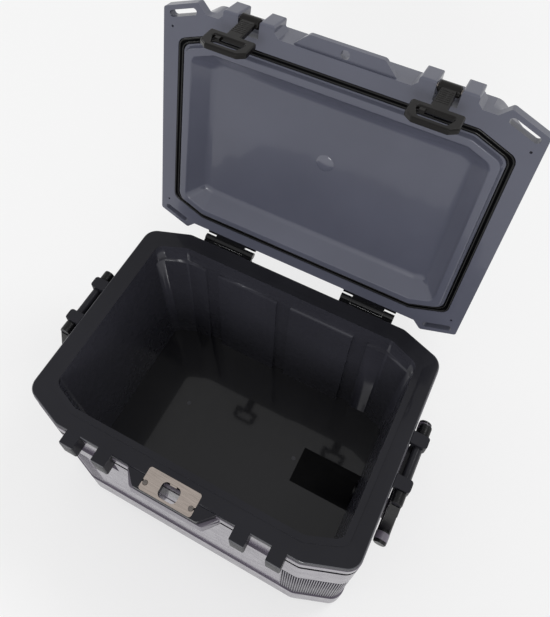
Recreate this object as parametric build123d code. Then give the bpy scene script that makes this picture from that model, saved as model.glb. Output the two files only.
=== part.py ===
"""Hard-sided cooler with an insulated tub, a hinged lid, rubber T-latches and swing handles.

Millimetres, +Z up. The origin is the centre of the base, on the surface that the cooler stands on.
-Y is the front, with the latches and the lock plate. +Y is the back, with the hinges.
The lid is drawn shut in its own functions and then turned about the hinge axis to lid_opening.
"""
from build123d import *
import os
from math import atan2, cos, degrees, hypot, radians, sin

os.makedirs("parts", exist_ok=True)

# Tub, outside
body_length = 459.0
body_width = 325.2
body_height = 285.0
corner_cut_x = 60.6
corner_cut_y = 21.6
corner_radius = 20.0
shell_wall = 5.0
shell_floor = 5.0
base_band_height = 51.0
base_band_proud = 2.4
rib_panel_height = 134.0
upper_band_proud = 0.9
shadow_gap_height = 4.0
shadow_gap_depth = 2.5
bead_height = 17.0
bead_proud = 2.4
base_edge_cut = 2.5
bead_edge_cut = 1.2

# Ribbed corner panels
panel_front_reach = 20.0
panel_side_reach = 22.0
panel_seat_depth = 2.2
panel_margin = 2.0
rib_pitch = 3.05
rib_groove_width = 1.3
rib_proud = 0.8

# Rubber pads in the base
foot_length = 52.0
foot_width = 22.0
foot_thickness = 3.0
foot_corner_radius = 6.0
foot_inset_x = 52.0
foot_inset_y = 40.0

# Tub, inside
rim_border_x = 27.9
rim_border_y = 26.2
mouth_back_shift = 1.7
mouth_cut_x = 41.1
mouth_cut_y = 16.5
mouth_radius = 13.0
tub_depth = 240.6
wall_lean = 8.9
liner_wall = 3.0
flange_width = 8.0
flange_thickness = 4.0
flange_bead = 0.6
rim_thickness = 8.0
rim_edge_radius = 2.0
back_panel_proud = 5.5
back_panel_drop = 31.0
back_centre_groove = 21.2
back_panel_width = 97.2
back_side_groove = 22.2

# Drain
drain_radius = 8.0
drain_tube_wall = 3.0
drain_flange_radius = 14.0
drain_flange_thickness = 2.5
drain_gasket_thickness = 1.5
drain_flange_lift = 0.6
drain_seat_set = 1.6
drain_pocket_depth = 8.0
drain_pocket_margin = 2.0
drain_sump_depth = 6.0
drain_sump_length = 95.0
drain_sump_flat = 38.7
drain_sump_width = 57.0
drain_sump_flat_width = 35.0
drain_pad_radius = 20.0
drain_pad_proud = 3.0
drain_nut_radius = 17.0
drain_nut_length = 5.0
drain_tube_proud = 1.0
plug_knob_radius = 15.0
plug_knob_length = 7.0
plug_wing_count = 6
plug_wing_radius = 3.0
plug_reach = 12.0
plug_seal_thickness = 2.0
running_clearance = 0.05

# Latch keepers and the lock tab on the front of the rim
latch_shift = 3.75
keeper_gap = 27.6
keeper_width = 19.2
keeper_reach = 16.9
keeper_height = 31.0
keeper_edge_cut = 1.5
lock_tab_root_half = 61.0
lock_tab_front_half = 44.0
lock_tab_reach = 17.3
lock_tab_thickness = 14.0
lock_tab_radius = 6.0
lock_tab_boss_drop = 13.0
lock_tab_boss_taper = 34.0
lock_tab_boss_margin = 4.5

# Recesses of the shell that the shut latches lie in
latch_recess_depth = 3.6
latch_recess_margin = 2.6
latch_recess_drop = 5.0
bead_shave = 1.6

# Lock plate with its opener
plate_length = 72.0
plate_width = 29.0
plate_thickness = 1.5
plate_sink = 1.2
plate_front_inset = 0.4
plate_corner_radius = 3.5
plate_mouth_length = 25.0
plate_mouth_width = 19.5
plate_mouth_radius = 6.0
plate_mouth_shift = 1.8
plate_mouth_step = 0.8
plate_screw_spread = 63.0
plate_screw_shift = 5.0
plate_notch_radius = 1.6
plate_notch_shift = 3.625
opener_tooth_width = 9.0
opener_tooth_length = 4.0
opener_tooth_angle = 40.0
screw_head_radius = 3.4
screw_head_height = 1.1
screw_head_cut = 0.66
screw_shank_radius = 1.6
screw_length = 11.0

# Hinges
lid_opening = 103.4
hinge_axis_back = 10.3
hinge_axis_drop = 4.3
hinge_start_x = 70.2
hinge_length = 79.0
hinge_end_knuckle = 15.5
hinge_knuckle_gap = 0.4
hinge_barrel_radius = 4.9
hinge_pin_radius = 2.4
hinge_leaf_thickness = 4.0
hinge_leaf_gap = 1.0
hinge_leaf_height = 36.0
hinge_leaf_radius = 4.0
hinge_pad_margin = 3.0
hinge_screw_inset = 14.0
hinge_screw_drop = 12.0
hinge_screw_length = 9.0
hinge_screw_head = 2.0

# Carrying handles
ear_centre_y = 29.2
ear_width = 16.0
ear_height = 20.0
ear_chamfer = 2.0
ear_corner_radius = 4.0
handle_axis_out = 11.5
handle_axis_drop = 10.0
ear_wrap = 9.5
handle_pivot_radius = 5.5
handle_barrel_radius = 7.3
handle_side_gap = 0.6
handle_barrel_width = 15.0
handle_drop = 68.0
handle_lean = 2.5
handle_arm_thickness = 13.0
grip_rod_radius = 4.5
grip_foot_start = 48.0
grip_foot_width = 24.0
grip_foot_radius = 8.4
grip_sleeve_radius = 9.0
grip_collar_width = 10.0
grip_collar_radius = 8.8
grip_cap_width = 4.0
grip_cap_radius = 8.4
grip_edge_cut = 1.4

# Lid
lid_seat_gap = 1.5
lid_sheet = 4.0
lid_ledge_height = 12.0
lid_skirt_height = 36.0
lid_height = 48.0
lid_top_inset = 15.0
lid_upper_cut_x = 60.0
lid_upper_cut_y = 45.0
lid_corner_radius = 16.0
lid_top_panel_inset = 42.0
lid_top_panel_depth = 1.5
lid_hole_radius = 1.6
lid_hole_inset_x = 12.5
lid_hole_inset_y = 28.0
plug_depth = 6.0
plug_clearance = 2.0
plug_taper = 2.0
pan_inset = 13.0
pan_depth = 22.0
pan_slope = 22.0
gasket_groove_gap = 0.3
gasket_groove_width = 8.7
gasket_groove_depth = 5.0
gasket_side_gap = 0.5
gasket_lip = 0.6
gasket_lip_inset = 2.0
foam_plug_radius = 9.5
foam_plug_height = 2.4
foam_plug_cut = 1.68
foam_plug_forward = 16.0

# Tie-down loops on the lid corners
loop_side_inset = 6.0
loop_tip_inset = 45.9
loop_tip_out = 11.5
loop_root_inset = 57.4
loop_slot_width = 8.6
loop_slot_length = 39.0
loop_strip = 5.8
loop_edge_radius = 4.0
loop_root_reach = 22.0

# Latch bosses and lock tab of the lid
boss_reach = 13.5
boss_height = 32.0
boss_edge_radius = 3.0
boss_flare = 6.0
latch_pivot_out = 7.5
latch_pivot_height = 6.0
latch_pin_radius = 3.0
latch_pin_seat = 6.0
latch_notch_depth = 8.0
latch_notch_height = 16.0
lid_tab_root_half = 62.0
lid_tab_front_half = 45.0
lid_tab_reach = 16.5
lid_tab_lift = 3.0
lid_tab_thickness = 7.0
padlock_radius = 5.5
padlock_out = 7.1

# Rubber latches
latch_rest_lean = 6.4
latch_hub_radius = 6.8
latch_hub_width = 25.0
latch_stem_width = 18.6
latch_thickness = 7.6
latch_shoulder = 40.5
latch_shoulder_half = 28.8
latch_side_end = 64.6
latch_end = 71.5
latch_end_half = 19.6
latch_loop_top = 49.0
latch_loop_top_half = 21.5
latch_loop_end = 64.5
latch_loop_end_half = 15.5
latch_corner_radius = 3.0
latch_edge_cut = 1.4

# Worked out from the sizes above
rim_top = body_height
rim_under = rim_top - rim_thickness
half_x = body_length / 2
half_y = body_width / 2
mouth_length = body_length - 2 * rim_border_x
mouth_width = body_width - 2 * rim_border_y
front_face = -half_y
rear_face = half_y + bead_proud
tub_floor = rim_top - tub_depth
hinge_y = half_y + hinge_axis_back
hinge_z = rim_top - hinge_axis_drop
lid_z = rim_top + lid_seat_gap
latch_centre_x = (lock_tab_root_half + half_x - corner_cut_x) / 2 + latch_shift
lid_half_x = half_x + bead_proud
lid_half_y = half_y + bead_proud
lid_front = -lid_half_y
loop_side_y = lid_half_y - loop_side_inset
loop_tip_x = lid_half_x - loop_tip_inset
loop_root_x = lid_half_x - loop_root_inset
handle_x = half_x + handle_axis_out
handle_z = rim_top - handle_axis_drop
grip_x = handle_x + handle_lean
grip_z = handle_z - handle_drop
bead_foot = rim_under - bead_height
gap_foot = bead_foot - shadow_gap_height
panel_top = base_band_height + rib_panel_height
sump_floor = tub_floor - drain_sump_depth
drain_z = sump_floor + drain_flange_radius + drain_flange_lift
plate_top = rim_top - plate_sink + plate_thickness
plate_y = front_face - lock_tab_reach + plate_front_inset + plate_width / 2
latch_pivot_y = lid_front - latch_pivot_out
latch_pivot_z = lid_z + latch_pivot_height


def shorter_cut(cut, other_cut, inset):
    """Return the length of a corner cut along its own side once the outline has moved in by inset."""
    return cut - inset * (cut + other_cut - hypot(cut, other_cut)) / other_cut


def cut_rectangle(side_x, side_y, cut_x, cut_y, radius, grow=0.0):
    """Return the face of a rectangle with cut corners, all of its corners rounded, moved out by grow."""
    hx = side_x + grow
    hy = side_y + grow
    cx = shorter_cut(cut_x, cut_y, -grow)
    cy = shorter_cut(cut_y, cut_x, -grow)
    corners = [(hx - cx, -hy), (hx, cy - hy), (hx, hy - cy), (hx - cx, hy)]
    mirrored = [(-x, -y) for x, y in corners]
    face = make_face(Polyline(*corners, *mirrored, close=True))
    return fillet(face.vertices(), radius=radius)


def body_outline(grow=0.0):
    """Return the outline of the tub's outside, moved out by grow."""
    return cut_rectangle(half_x, half_y, corner_cut_x, corner_cut_y, corner_radius, grow)


def mouth_outline(grow=0.0):
    """Return the outline of the tub's mouth, moved out by grow."""
    face = cut_rectangle(mouth_length / 2, mouth_width / 2, mouth_cut_x, mouth_cut_y, mouth_radius, grow)
    return Pos(0, mouth_back_shift) * face


def lid_outline(grow=0.0):
    """Return the outline of the lid's ledge, which follows the bead of the tub."""
    return cut_rectangle(lid_half_x, lid_half_y, corner_cut_x, corner_cut_y, corner_radius, grow)


def lid_upper_outline(grow=0.0):
    """Return the outline of the lid above its ledge, where the corners are cut further back."""
    return cut_rectangle(lid_half_x, lid_half_y, lid_upper_cut_x, lid_upper_cut_y, lid_corner_radius, grow)


def prism(face, bottom, top):
    """Return the face drawn upright from bottom to top."""
    return extrude(Pos(0, 0, bottom) * face, amount=top - bottom, dir=(0, 0, 1))


def tapered(low_face, low, high_face, high):
    """Return the straight-sided form between two like outlines at two heights."""
    return loft([Pos(0, 0, low) * low_face, Pos(0, 0, high) * high_face], ruled=True)


def block(x0, x1, y0, y1, z0, z1):
    """Return a box between two corners."""
    size = (x1 - x0, y1 - y0, z1 - z0)
    middle = ((x0 + x1) / 2, (y0 + y1) / 2, (z0 + z1) / 2)
    return Pos(*middle) * Box(*size)


def rod_x(radius, x0, x1, y, z):
    """Return a cylinder along X."""
    return Pos((x0 + x1) / 2, y, z) * Rot(0, 90, 0) * Cylinder(radius, x1 - x0)


def rod_y(radius, x, y0, y1, z):
    """Return a cylinder along Y."""
    return Pos(x, (y0 + y1) / 2, z) * Rot(90, 0, 0) * Cylinder(radius, y1 - y0)


def rod_z(radius, x, y, z0, z1):
    """Return a cylinder along Z."""
    return Pos(x, y, (z0 + z1) / 2) * Cylinder(radius, z1 - z0)


def open_lid(shape):
    """Turn a shape that is drawn on the shut lid to the lid's open place."""
    return shape.rotate(Axis((0, hinge_y, hinge_z), (1, 0, 0)), -lid_opening)


def wedge_face(root_half, front_half, root_y, reach, radius, grow=0.0):
    """Return the plan of a tab that narrows from its root to its front, with rounded front corners."""
    front_y = root_y - reach - grow
    points = [(-root_half - grow, root_y), (-front_half - grow, front_y)]
    points += [(front_half + grow, front_y), (root_half + grow, root_y)]
    face = make_face(Polyline(*points, close=True))
    front = face.vertices().sort_by(Axis.Y)[:2]
    return fillet(front, radius=radius)


def keeper_ranges():
    """Return the X ranges of the four keepers, and of the four lid bosses above them."""
    inner = latch_centre_x - keeper_gap / 2
    outer = latch_centre_x + keeper_gap / 2
    right = [(inner - keeper_width, inner), (outer, outer + keeper_width)]
    return [(-b, -a) for a, b in right] + right


def cavity(grow=0.0, low=0.0):
    """Return the room inside the liner, moved out by grow, with its floor lowered by low."""
    return tapered(mouth_outline(grow - wall_lean), tub_floor - low, mouth_outline(grow), rim_top)


def sump():
    """Return the sloped hollow in the floor that leads to the drain."""
    wall = mouth_length / 2 - wall_lean
    wide = drain_sump_width / 2
    flat = drain_sump_flat_width / 2
    top = Polyline((wall - drain_sump_length, -wide), (wall, -wide), (wall, wide),
                   (wall - drain_sump_length, wide), close=True)
    low = Polyline((wall - drain_sump_flat, -flat), (wall, -flat), (wall, flat),
                   (wall - drain_sump_flat, flat), close=True)
    hollow = tapered(make_face(low), sump_floor, make_face(top), tub_floor)
    pocket_top = drain_z + drain_flange_radius + drain_pocket_margin
    return hollow + block(wall - drain_pocket_depth, drain_wall_x(), -flat, flat, sump_floor, pocket_top)


def drain_wall_x():
    """Return the X of the flat that the drain's inner flange seats on."""
    return mouth_length / 2 - wall_lean + drain_seat_set


def drain_hole(radius):
    """Return a bore of this radius along the drain, through the tub's right end."""
    return rod_x(radius, drain_wall_x() - 20, half_x + 30, 0, drain_z)


def corner_band(outer_grow, inner_grow, bottom, top):
    """Return the four bent strips that lie at the tub's corners between two outlines."""
    ring = prism(body_outline(outer_grow), bottom, top) - prism(body_outline(inner_grow), bottom, top)
    reach_x = half_x - corner_cut_x - panel_front_reach
    reach_y = half_y - corner_cut_y - panel_side_reach
    ring -= block(-reach_x, reach_x, -body_width, body_width, bottom, top)
    return ring - block(-body_length, body_length, -reach_y, reach_y, bottom, top)


def rib_cutters(bottom, top):
    """Return the upright cutters, one rib pitch apart, that groove the corner panels."""
    wire = body_outline(rib_proud).wire()
    count = int(wire.length / rib_pitch)
    reach_x = half_x - corner_cut_x - panel_front_reach
    reach_y = half_y - corner_cut_y - panel_side_reach
    cutters = []
    for index in range(count):
        place = wire.position_at(index / count)
        along = wire.tangent_at(index / count)
        if abs(place.X) > reach_x + rib_pitch / 2 and abs(place.Y) > reach_y + rib_pitch / 2:
            turn = degrees(atan2(along.Y, along.X))
            cutter = Box(rib_groove_width, 2 * rib_proud, top - bottom)
            cutters.append(Pos(place.X, place.Y, (bottom + top) / 2) * Rot(0, 0, turn) * cutter)
    return cutters


def make_corner_panels():
    """Return the four ribbed panels set into the shell's corners."""
    low = base_band_height + panel_margin
    high = panel_top - panel_margin
    strips = corner_band(rib_proud, -panel_seat_depth, low, high)
    return strips - rib_cutters(low + panel_margin, high - panel_margin)


def make_outer_shell():
    """Return the moulded outside of the tub, with its bands, its bead and its pads."""
    shell = prism(body_outline(base_band_proud), 0, base_band_height)
    shell = chamfer(shell.faces().sort_by(Axis.Z)[0].edges(), length=base_edge_cut)
    shell += prism(body_outline(), base_band_height, panel_top)
    shell += prism(body_outline(upper_band_proud), panel_top, gap_foot)
    shell += prism(body_outline(-shadow_gap_depth), gap_foot, bead_foot)
    bead = prism(body_outline(bead_proud), bead_foot, rim_under)
    bead_edges = bead.faces().sort_by(Axis.Z)[0].edges() + bead.faces().sort_by(Axis.Z)[-1].edges()
    shell += chamfer(bead_edges, length=bead_edge_cut)
    shell += lock_tab_boss()
    shell -= prism(lock_tab_face(), rim_top - lock_tab_thickness, rim_top)
    shell -= padlock_shaft()
    shell += hinge_pads()
    shell += rod_x(drain_pad_radius, half_x - shell_wall, half_x + drain_pad_proud, 0, drain_z)
    shell -= prism(body_outline(-shell_wall), shell_floor, rim_under)
    shell -= corner_band(base_band_proud + 1, -panel_seat_depth, base_band_height + panel_margin,
                         panel_top - panel_margin)
    shell -= keeper_blocks()
    shell -= latch_recesses()
    shell -= drain_hole(drain_radius + drain_tube_wall)
    shell -= foot_blocks()
    shell -= hinge_screw_bodies(hinge_z, -1)
    return shell


def lock_tab_boss():
    """Return the swelling of the shell that carries the lock tab."""
    top = rim_top - lock_tab_thickness
    foot = top - lock_tab_boss_drop
    root = front_face + shell_wall / 2
    reach = lock_tab_reach + shell_wall / 2
    wide = lock_tab_root_half + lock_tab_boss_margin
    narrow = lock_tab_front_half + lock_tab_boss_margin
    full = wedge_face(wide, narrow, root, reach, lock_tab_radius, bead_proud)
    small = wedge_face(wide, narrow, root, reach / 4, 1.0, 0.0)
    return prism(full, foot, top) + tapered(small, foot - lock_tab_boss_taper, full, foot)


def latch_recesses():
    """Return the pockets of the shell behind the shut latches, and the cuts that thin the bead there."""
    half = latch_shoulder_half + latch_recess_margin
    foot = latch_pivot_z - latch_end - latch_recess_drop
    floor = front_face - upper_band_proud + latch_recess_depth
    thinned = front_face - bead_proud + bead_shave
    cuts = []
    for x in (-latch_centre_x, latch_centre_x):
        cuts.append(block(x - half, x + half, front_face - bead_proud - 1, floor, foot, gap_foot))
        cuts.append(block(x - keeper_gap / 2, x + keeper_gap / 2, front_face - 2 * bead_proud, thinned,
                          bead_foot - 1, rim_under))
    return cuts


def lock_tab_face():
    """Return the plan of the tab in the middle of the rim's front."""
    return wedge_face(lock_tab_root_half, lock_tab_front_half, front_face, lock_tab_reach, lock_tab_radius)


def padlock_shaft():
    """Return the upright way through the shell's swelling, under the mouth of the lock plate."""
    way = prism(plate_mouth(plate_mouth_step), bead_foot - 2 * lock_tab_boss_taper, rim_under)
    return way & block(-half_x, half_x, -body_width, front_face - 1, 0, body_height)


def hinge_pads():
    """Return the two flat pads on the back of the shell that the hinges are screwed to."""
    low = hinge_z - hinge_leaf_height - hinge_pad_margin
    start = hinge_start_x - hinge_pad_margin
    end = hinge_start_x + hinge_length + hinge_pad_margin
    pads = block(start, end, half_y - shell_wall / 2, rear_face, low, rim_under)
    return pads + block(-end, -start, half_y - shell_wall / 2, rear_face, low, rim_under)


def foot_blocks():
    """Return the four rubber pads set flush in the base."""
    face = RectangleRounded(foot_length, foot_width, foot_corner_radius)
    feet = []
    for x in (-half_x + foot_inset_x, half_x - foot_inset_x):
        for y in (-half_y + foot_inset_y, half_y - foot_inset_y):
            feet.append(prism(Pos(x, y) * face, 0, foot_thickness))
    return feet


def make_liner():
    """Return the tub's liner, with its flange, the panels of its back wall and its sump."""
    room = cavity()
    liner = cavity(liner_wall, liner_wall)
    liner += prism(mouth_outline(flange_width), rim_top - flange_thickness, rim_top + flange_bead)
    sump_wall = mouth_length / 2 - wall_lean
    under = sump_floor - liner_wall
    wide = drain_sump_width / 2 + liner_wall
    liner += block(sump_wall - drain_sump_length - liner_wall, sump_wall + liner_wall, -wide, wide,
                   under, tub_floor)
    pocket_half = drain_sump_flat_width / 2 + liner_wall
    pocket_top = drain_z + drain_flange_radius + drain_pocket_margin
    liner += block(sump_wall - drain_pocket_depth, drain_wall_x() + liner_wall, -pocket_half, pocket_half,
                   under, pocket_top + liner_wall)
    liner -= room
    liner -= prism(mouth_outline(), rim_top - 1, rim_top + flange_bead)
    liner += back_panels(room)
    liner -= sump()
    return liner - drain_hole(drain_radius + drain_tube_wall)


def back_panels(room):
    """Return the raised panels of the back wall, between their upright grooves."""
    slab = room - Pos(0, -back_panel_proud, 0) * room
    first = back_centre_groove / 2
    second = first + back_panel_width
    third = second + back_side_groove
    top = rim_top - back_panel_drop
    panels = []
    for x0, x1 in ((first, second), (third, half_x), (-second, -first), (-half_x, -third)):
        panels.append(slab & block(x0, x1, mouth_width / 4, mouth_width, tub_floor, top))
    return panels


def make_rim():
    """Return the flat rim that caps the shell, with its step for the liner's flange."""
    rim = prism(body_outline(), rim_under, rim_top)
    rim = fillet(rim.faces().sort_by(Axis.Z)[-1].edges(), radius=rim_edge_radius)
    rim -= prism(mouth_outline(flange_width), rim_top - flange_thickness, rim_top)
    rim -= cavity(liner_wall, liner_wall)
    rim -= keeper_blocks()
    rim -= prism(plate_mouth(plate_mouth_step), rim_under, rim_top)
    return rim - plate_body() - opener_tooth()


def make_foam(shell_room, *pieces):
    """Return the foam that fills a room, less the pieces that stand in it."""
    foam = shell_room
    for piece in pieces:
        foam -= piece
    return foam


def keeper_blocks():
    """Return the four keepers that the latches hook under."""
    keepers = []
    for x0, x1 in keeper_ranges():
        keeper = block(x0, x1, front_face - keeper_reach, front_face + rim_edge_radius,
                       rim_top - keeper_height, rim_top)
        front = keeper.faces().sort_by(Axis.Y)[0]
        keepers.append(chamfer(front.edges(), length=keeper_edge_cut))
    return keepers


def make_rim_lock_tab():
    """Return the tab in the middle of the rim's front, with the pocket under the lock plate."""
    tab = prism(lock_tab_face(), rim_top - lock_tab_thickness, rim_top)
    tab -= plate_body()
    tab -= prism(plate_mouth(plate_mouth_step), rim_top - lock_tab_thickness, rim_top)
    return tab - plate_screw_bodies()


def plate_mouth(grow=0.0):
    """Return the outline of the opening in the lock plate."""
    face = RectangleRounded(plate_mouth_length + 2 * grow, plate_mouth_width + 2 * grow,
                            plate_mouth_radius + grow)
    return Pos(0, plate_y - plate_mouth_shift) * face


def plate_body():
    """Return the lock plate before its holes are cut."""
    face = Pos(0, plate_y) * RectangleRounded(plate_length, plate_width, plate_corner_radius)
    return prism(face, plate_top - plate_thickness, plate_top)


def make_lock_plate():
    """Return the steel lock plate, with its mouth, its notches and the tooth of the bottle opener."""
    plate = plate_body() - prism(plate_mouth(), rim_under, plate_top + 1)
    for x in (-plate_length / 2, plate_length / 2):
        plate -= rod_z(plate_notch_radius, x, plate_y - plate_notch_shift, rim_under, plate_top + 1)
    for x in (-plate_screw_spread / 2, plate_screw_spread / 2):
        plate -= rod_z(screw_shank_radius, x, plate_y - plate_screw_shift, rim_under, plate_top + 1)
    return plate + opener_tooth()


def opener_tooth():
    """Return the tooth of the bottle opener, bent down from the rear edge of the plate's mouth."""
    tooth = Pos(0, -opener_tooth_length / 2, -plate_thickness / 2) * Box(
        opener_tooth_width, opener_tooth_length, plate_thickness)
    rear_edge = plate_y - plate_mouth_shift + plate_mouth_width / 2
    return Pos(0, rear_edge + plate_thickness, plate_top) * Rot(opener_tooth_angle, 0, 0) * tooth


def plate_screw_bodies():
    """Return the two pan-head screws of the lock plate."""
    screws = []
    for x in (-plate_screw_spread / 2, plate_screw_spread / 2):
        y = plate_y - plate_screw_shift
        head = rod_z(screw_head_radius, x, y, plate_top, plate_top + screw_head_height)
        head = chamfer(head.faces().sort_by(Axis.Z)[-1].edges(), length=screw_head_cut)
        screws.append(head + rod_z(screw_shank_radius, x, y, plate_top - screw_length, plate_top))
    return screws


def knuckle_spans():
    """Return the X spans of the two end knuckles and of the middle knuckle of a hinge."""
    start = hinge_start_x
    end = hinge_start_x + hinge_length
    first = (start, start + hinge_end_knuckle)
    last = (end - hinge_end_knuckle, end)
    middle = (first[1] + hinge_knuckle_gap, last[0] - hinge_knuckle_gap)
    return first, last, middle


def hinge_leaf(spans, upward):
    """Return one leaf of the right-hand hinge: its plate and the knuckles over these spans."""
    sign = 1 if upward else -1
    edge = hinge_z + sign * (hinge_barrel_radius + hinge_leaf_gap)
    tip = hinge_z + sign * hinge_leaf_height
    start = hinge_start_x
    end = hinge_start_x + hinge_length
    inner = rear_face
    outer = rear_face + hinge_leaf_thickness
    leaf = block(start, end, inner, outer, min(edge, tip), max(edge, tip))
    far = leaf.edges().filter_by(Axis.Y).sort_by(Axis.Z)
    leaf = fillet(far[-2:] if upward else far[:2], radius=hinge_leaf_radius)
    for x0, x1 in spans:
        leaf += block(x0, x1, inner, outer, min(hinge_z, edge), max(hinge_z, edge))
        leaf += rod_x(hinge_barrel_radius, x0, x1, hinge_y, hinge_z)
    return leaf - rod_x(hinge_pin_radius, start - 1, end + 1, hinge_y, hinge_z)


def hinge_screw_bodies(level, sign):
    """Return the four countersunk screws in the leaves on one side of the hinge axis."""
    screws = []
    outer = rear_face + hinge_leaf_thickness
    z = level + sign * (hinge_leaf_height - hinge_screw_drop)
    for x in (hinge_start_x + hinge_screw_inset, hinge_start_x + hinge_length - hinge_screw_inset):
        for side in (-x, x):
            head = Rot(-90, 0, 0) * Cone(screw_shank_radius, screw_head_radius, hinge_screw_head)
            head = Pos(side, outer - hinge_screw_head / 2, z) * head
            shank = rod_y(screw_shank_radius, side, outer - hinge_screw_length, outer - hinge_screw_head / 2, z)
            screws.append(head + shank)
    return screws


def both_sides(shape):
    """Return a shape and its mirror image across the middle of the cooler."""
    return [shape, mirror(shape, about=Plane.YZ)]


def ear_body(side, front_y):
    """Return one handle ear of one side, from front_y backward."""
    outer = handle_x + ear_wrap
    low = rim_top - ear_height
    bead_face = half_x + bead_proud
    points = [(half_x, rim_top), (outer, rim_top), (outer, low + ear_chamfer), (outer - ear_chamfer, low),
              (bead_face, low), (bead_face, rim_under), (half_x, rim_under)]
    face = make_face(Polyline(*points, close=True))
    ear = extrude(Plane.XZ.offset(-front_y) * face, amount=ear_width, dir=(0, 1, 0))
    upright = ear.edges().filter_by(Axis.Z).filter_by_position(Axis.X, outer - 0.1, outer + 0.1)
    ear = fillet(upright, radius=ear_corner_radius)
    ear -= rod_y(handle_pivot_radius + running_clearance, handle_x, front_y - 1, front_y + ear_width + 1,
                 handle_z)
    return ear if side > 0 else mirror(ear, about=Plane.YZ)


def make_handle_ears():
    """Return the four ears that carry the two handles."""
    starts = (-ear_centre_y - ear_width / 2, ear_centre_y - ear_width / 2)
    return [ear_body(side, y) for side in (-1, 1) for y in starts]


def handle_arm():
    """Return the arm of the right-hand handle at its positive Y end."""
    near = ear_centre_y + ear_width / 2 + handle_side_gap
    far = near + handle_barrel_width
    foot_near = grip_foot_start
    foot_far = grip_foot_start + grip_foot_width
    arm = rod_y(handle_barrel_radius, handle_x, near, far, handle_z)
    arm += rod_y(grip_foot_radius, grip_x, foot_near, foot_far, grip_z)
    profile = Polyline((near, handle_z), (far, handle_z), (foot_far, grip_z), (foot_near, grip_z), close=True)
    web = extrude(Plane.YZ * make_face(profile), amount=handle_arm_thickness / 2, both=True)
    lean = degrees(atan2(handle_lean, handle_drop))
    web = web.rotate(Axis((0, 0, handle_z), (0, 1, 0)), -lean)
    arm += Pos(handle_x, 0, 0) * web
    arm -= rod_y(handle_pivot_radius, handle_x, near - 1, far + 1, handle_z)
    arm -= rod_y(grip_sleeve_radius, grip_x, -foot_near, foot_near, grip_z)
    return arm - rod_y(grip_rod_radius, grip_x, foot_near - 1, foot_far + 1, grip_z)


def handle_pieces():
    """Return the pieces of the right-hand handle by name."""
    far = ear_centre_y + ear_width / 2 + handle_side_gap + handle_barrel_width
    foot_far = grip_foot_start + grip_foot_width
    collar_far = foot_far + grip_collar_width
    cap_far = collar_far + grip_cap_width
    arm = handle_arm()
    bore = rod_y(grip_rod_radius, grip_x, -cap_far, cap_far, grip_z)
    sleeve = rod_y(grip_sleeve_radius, grip_x, -grip_foot_start, grip_foot_start, grip_z)
    sleeve = chamfer(sleeve.edges().filter_by(GeomType.CIRCLE), length=grip_edge_cut)
    collar = rod_y(grip_collar_radius, grip_x, foot_far, collar_far, grip_z) - bore
    cap = rod_y(grip_cap_radius, grip_x, collar_far, cap_far, grip_z)
    cap = chamfer(cap.faces().sort_by(Axis.Y)[-1].edges(), length=grip_edge_cut)
    rod = rod_y(grip_rod_radius, grip_x, -collar_far, collar_far, grip_z)
    return {
        "handle_arms": [arm, mirror(arm, about=Plane.XZ)],
        "handle_pivot": rod_y(handle_pivot_radius, handle_x, -far, far, handle_z),
        "grip_rod": rod,
        "grip_sleeve": sleeve - bore,
        "grip_collars": [collar, mirror(collar, about=Plane.XZ)],
        "grip_caps": [cap, mirror(cap, about=Plane.XZ)],
    }


def drain_pieces():
    """Return the pieces of the drain by name."""
    seat = drain_wall_x()
    outside = half_x + drain_pad_proud
    tube_radius = drain_radius + drain_tube_wall
    tube_end = outside + drain_nut_length + drain_tube_proud
    flange_start = seat - drain_gasket_thickness - drain_flange_thickness
    flange = rod_x(drain_flange_radius, flange_start, seat - drain_gasket_thickness, 0, drain_z)
    fitting = flange + rod_x(tube_radius, flange_start, tube_end, 0, drain_z) - drain_hole(drain_radius)
    gasket = rod_x(drain_flange_radius, seat - drain_gasket_thickness, seat, 0, drain_z)
    nut = Pos(outside + drain_nut_length / 2, 0, drain_z) * Rot(0, 90, 0) * extrude(
        RegularPolygon(drain_nut_radius, 6), amount=drain_nut_length / 2, both=True)
    shaft_radius = drain_radius - running_clearance
    seal_end = tube_end + plug_seal_thickness
    seal = rod_x(tube_radius, tube_end, seal_end, 0, drain_z) - drain_hole(drain_radius)
    knob = rod_x(plug_knob_radius, seal_end, seal_end + plug_knob_length, 0, drain_z)
    for index in range(plug_wing_count):
        turn = radians(360 * index / plug_wing_count)
        y = plug_knob_radius * cos(turn)
        z = drain_z + plug_knob_radius * sin(turn)
        knob -= rod_x(plug_wing_radius, seal_end - 1, seal_end + plug_knob_length + 1, y, z)
    plug = knob + rod_x(shaft_radius, tube_end - plug_reach, seal_end, 0, drain_z)
    return {
        "drain_fitting": fitting,
        "drain_gasket": gasket - drain_hole(tube_radius),
        "drain_nut": nut - drain_hole(tube_radius),
        "drain_plug_seal": seal,
        "drain_plug": plug,
    }


def lid_tray():
    """Return the underside of the shut lid: ledge sheet, plug, pan and gasket groove."""
    top_of_pan = lid_z - plug_depth + pan_depth
    tray = prism(lid_outline(), lid_z, lid_z + lid_sheet)
    tray += prism(mouth_outline(gasket_groove_width + gasket_groove_gap + lid_sheet), lid_z,
                  lid_z + gasket_groove_depth + lid_sheet)
    tray += tapered(mouth_outline(-plug_clearance - plug_taper), lid_z - plug_depth,
                    mouth_outline(-plug_clearance), lid_z)
    tray += tapered(mouth_outline(-pan_inset + lid_sheet), lid_z, mouth_outline(-pan_inset - pan_slope
                    + lid_sheet), top_of_pan + lid_sheet)
    tray -= tapered(mouth_outline(-pan_inset), lid_z - plug_depth, mouth_outline(-pan_inset - pan_slope),
                    top_of_pan)
    return tray - gasket_groove() - corner_holes() - latch_notches()


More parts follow.
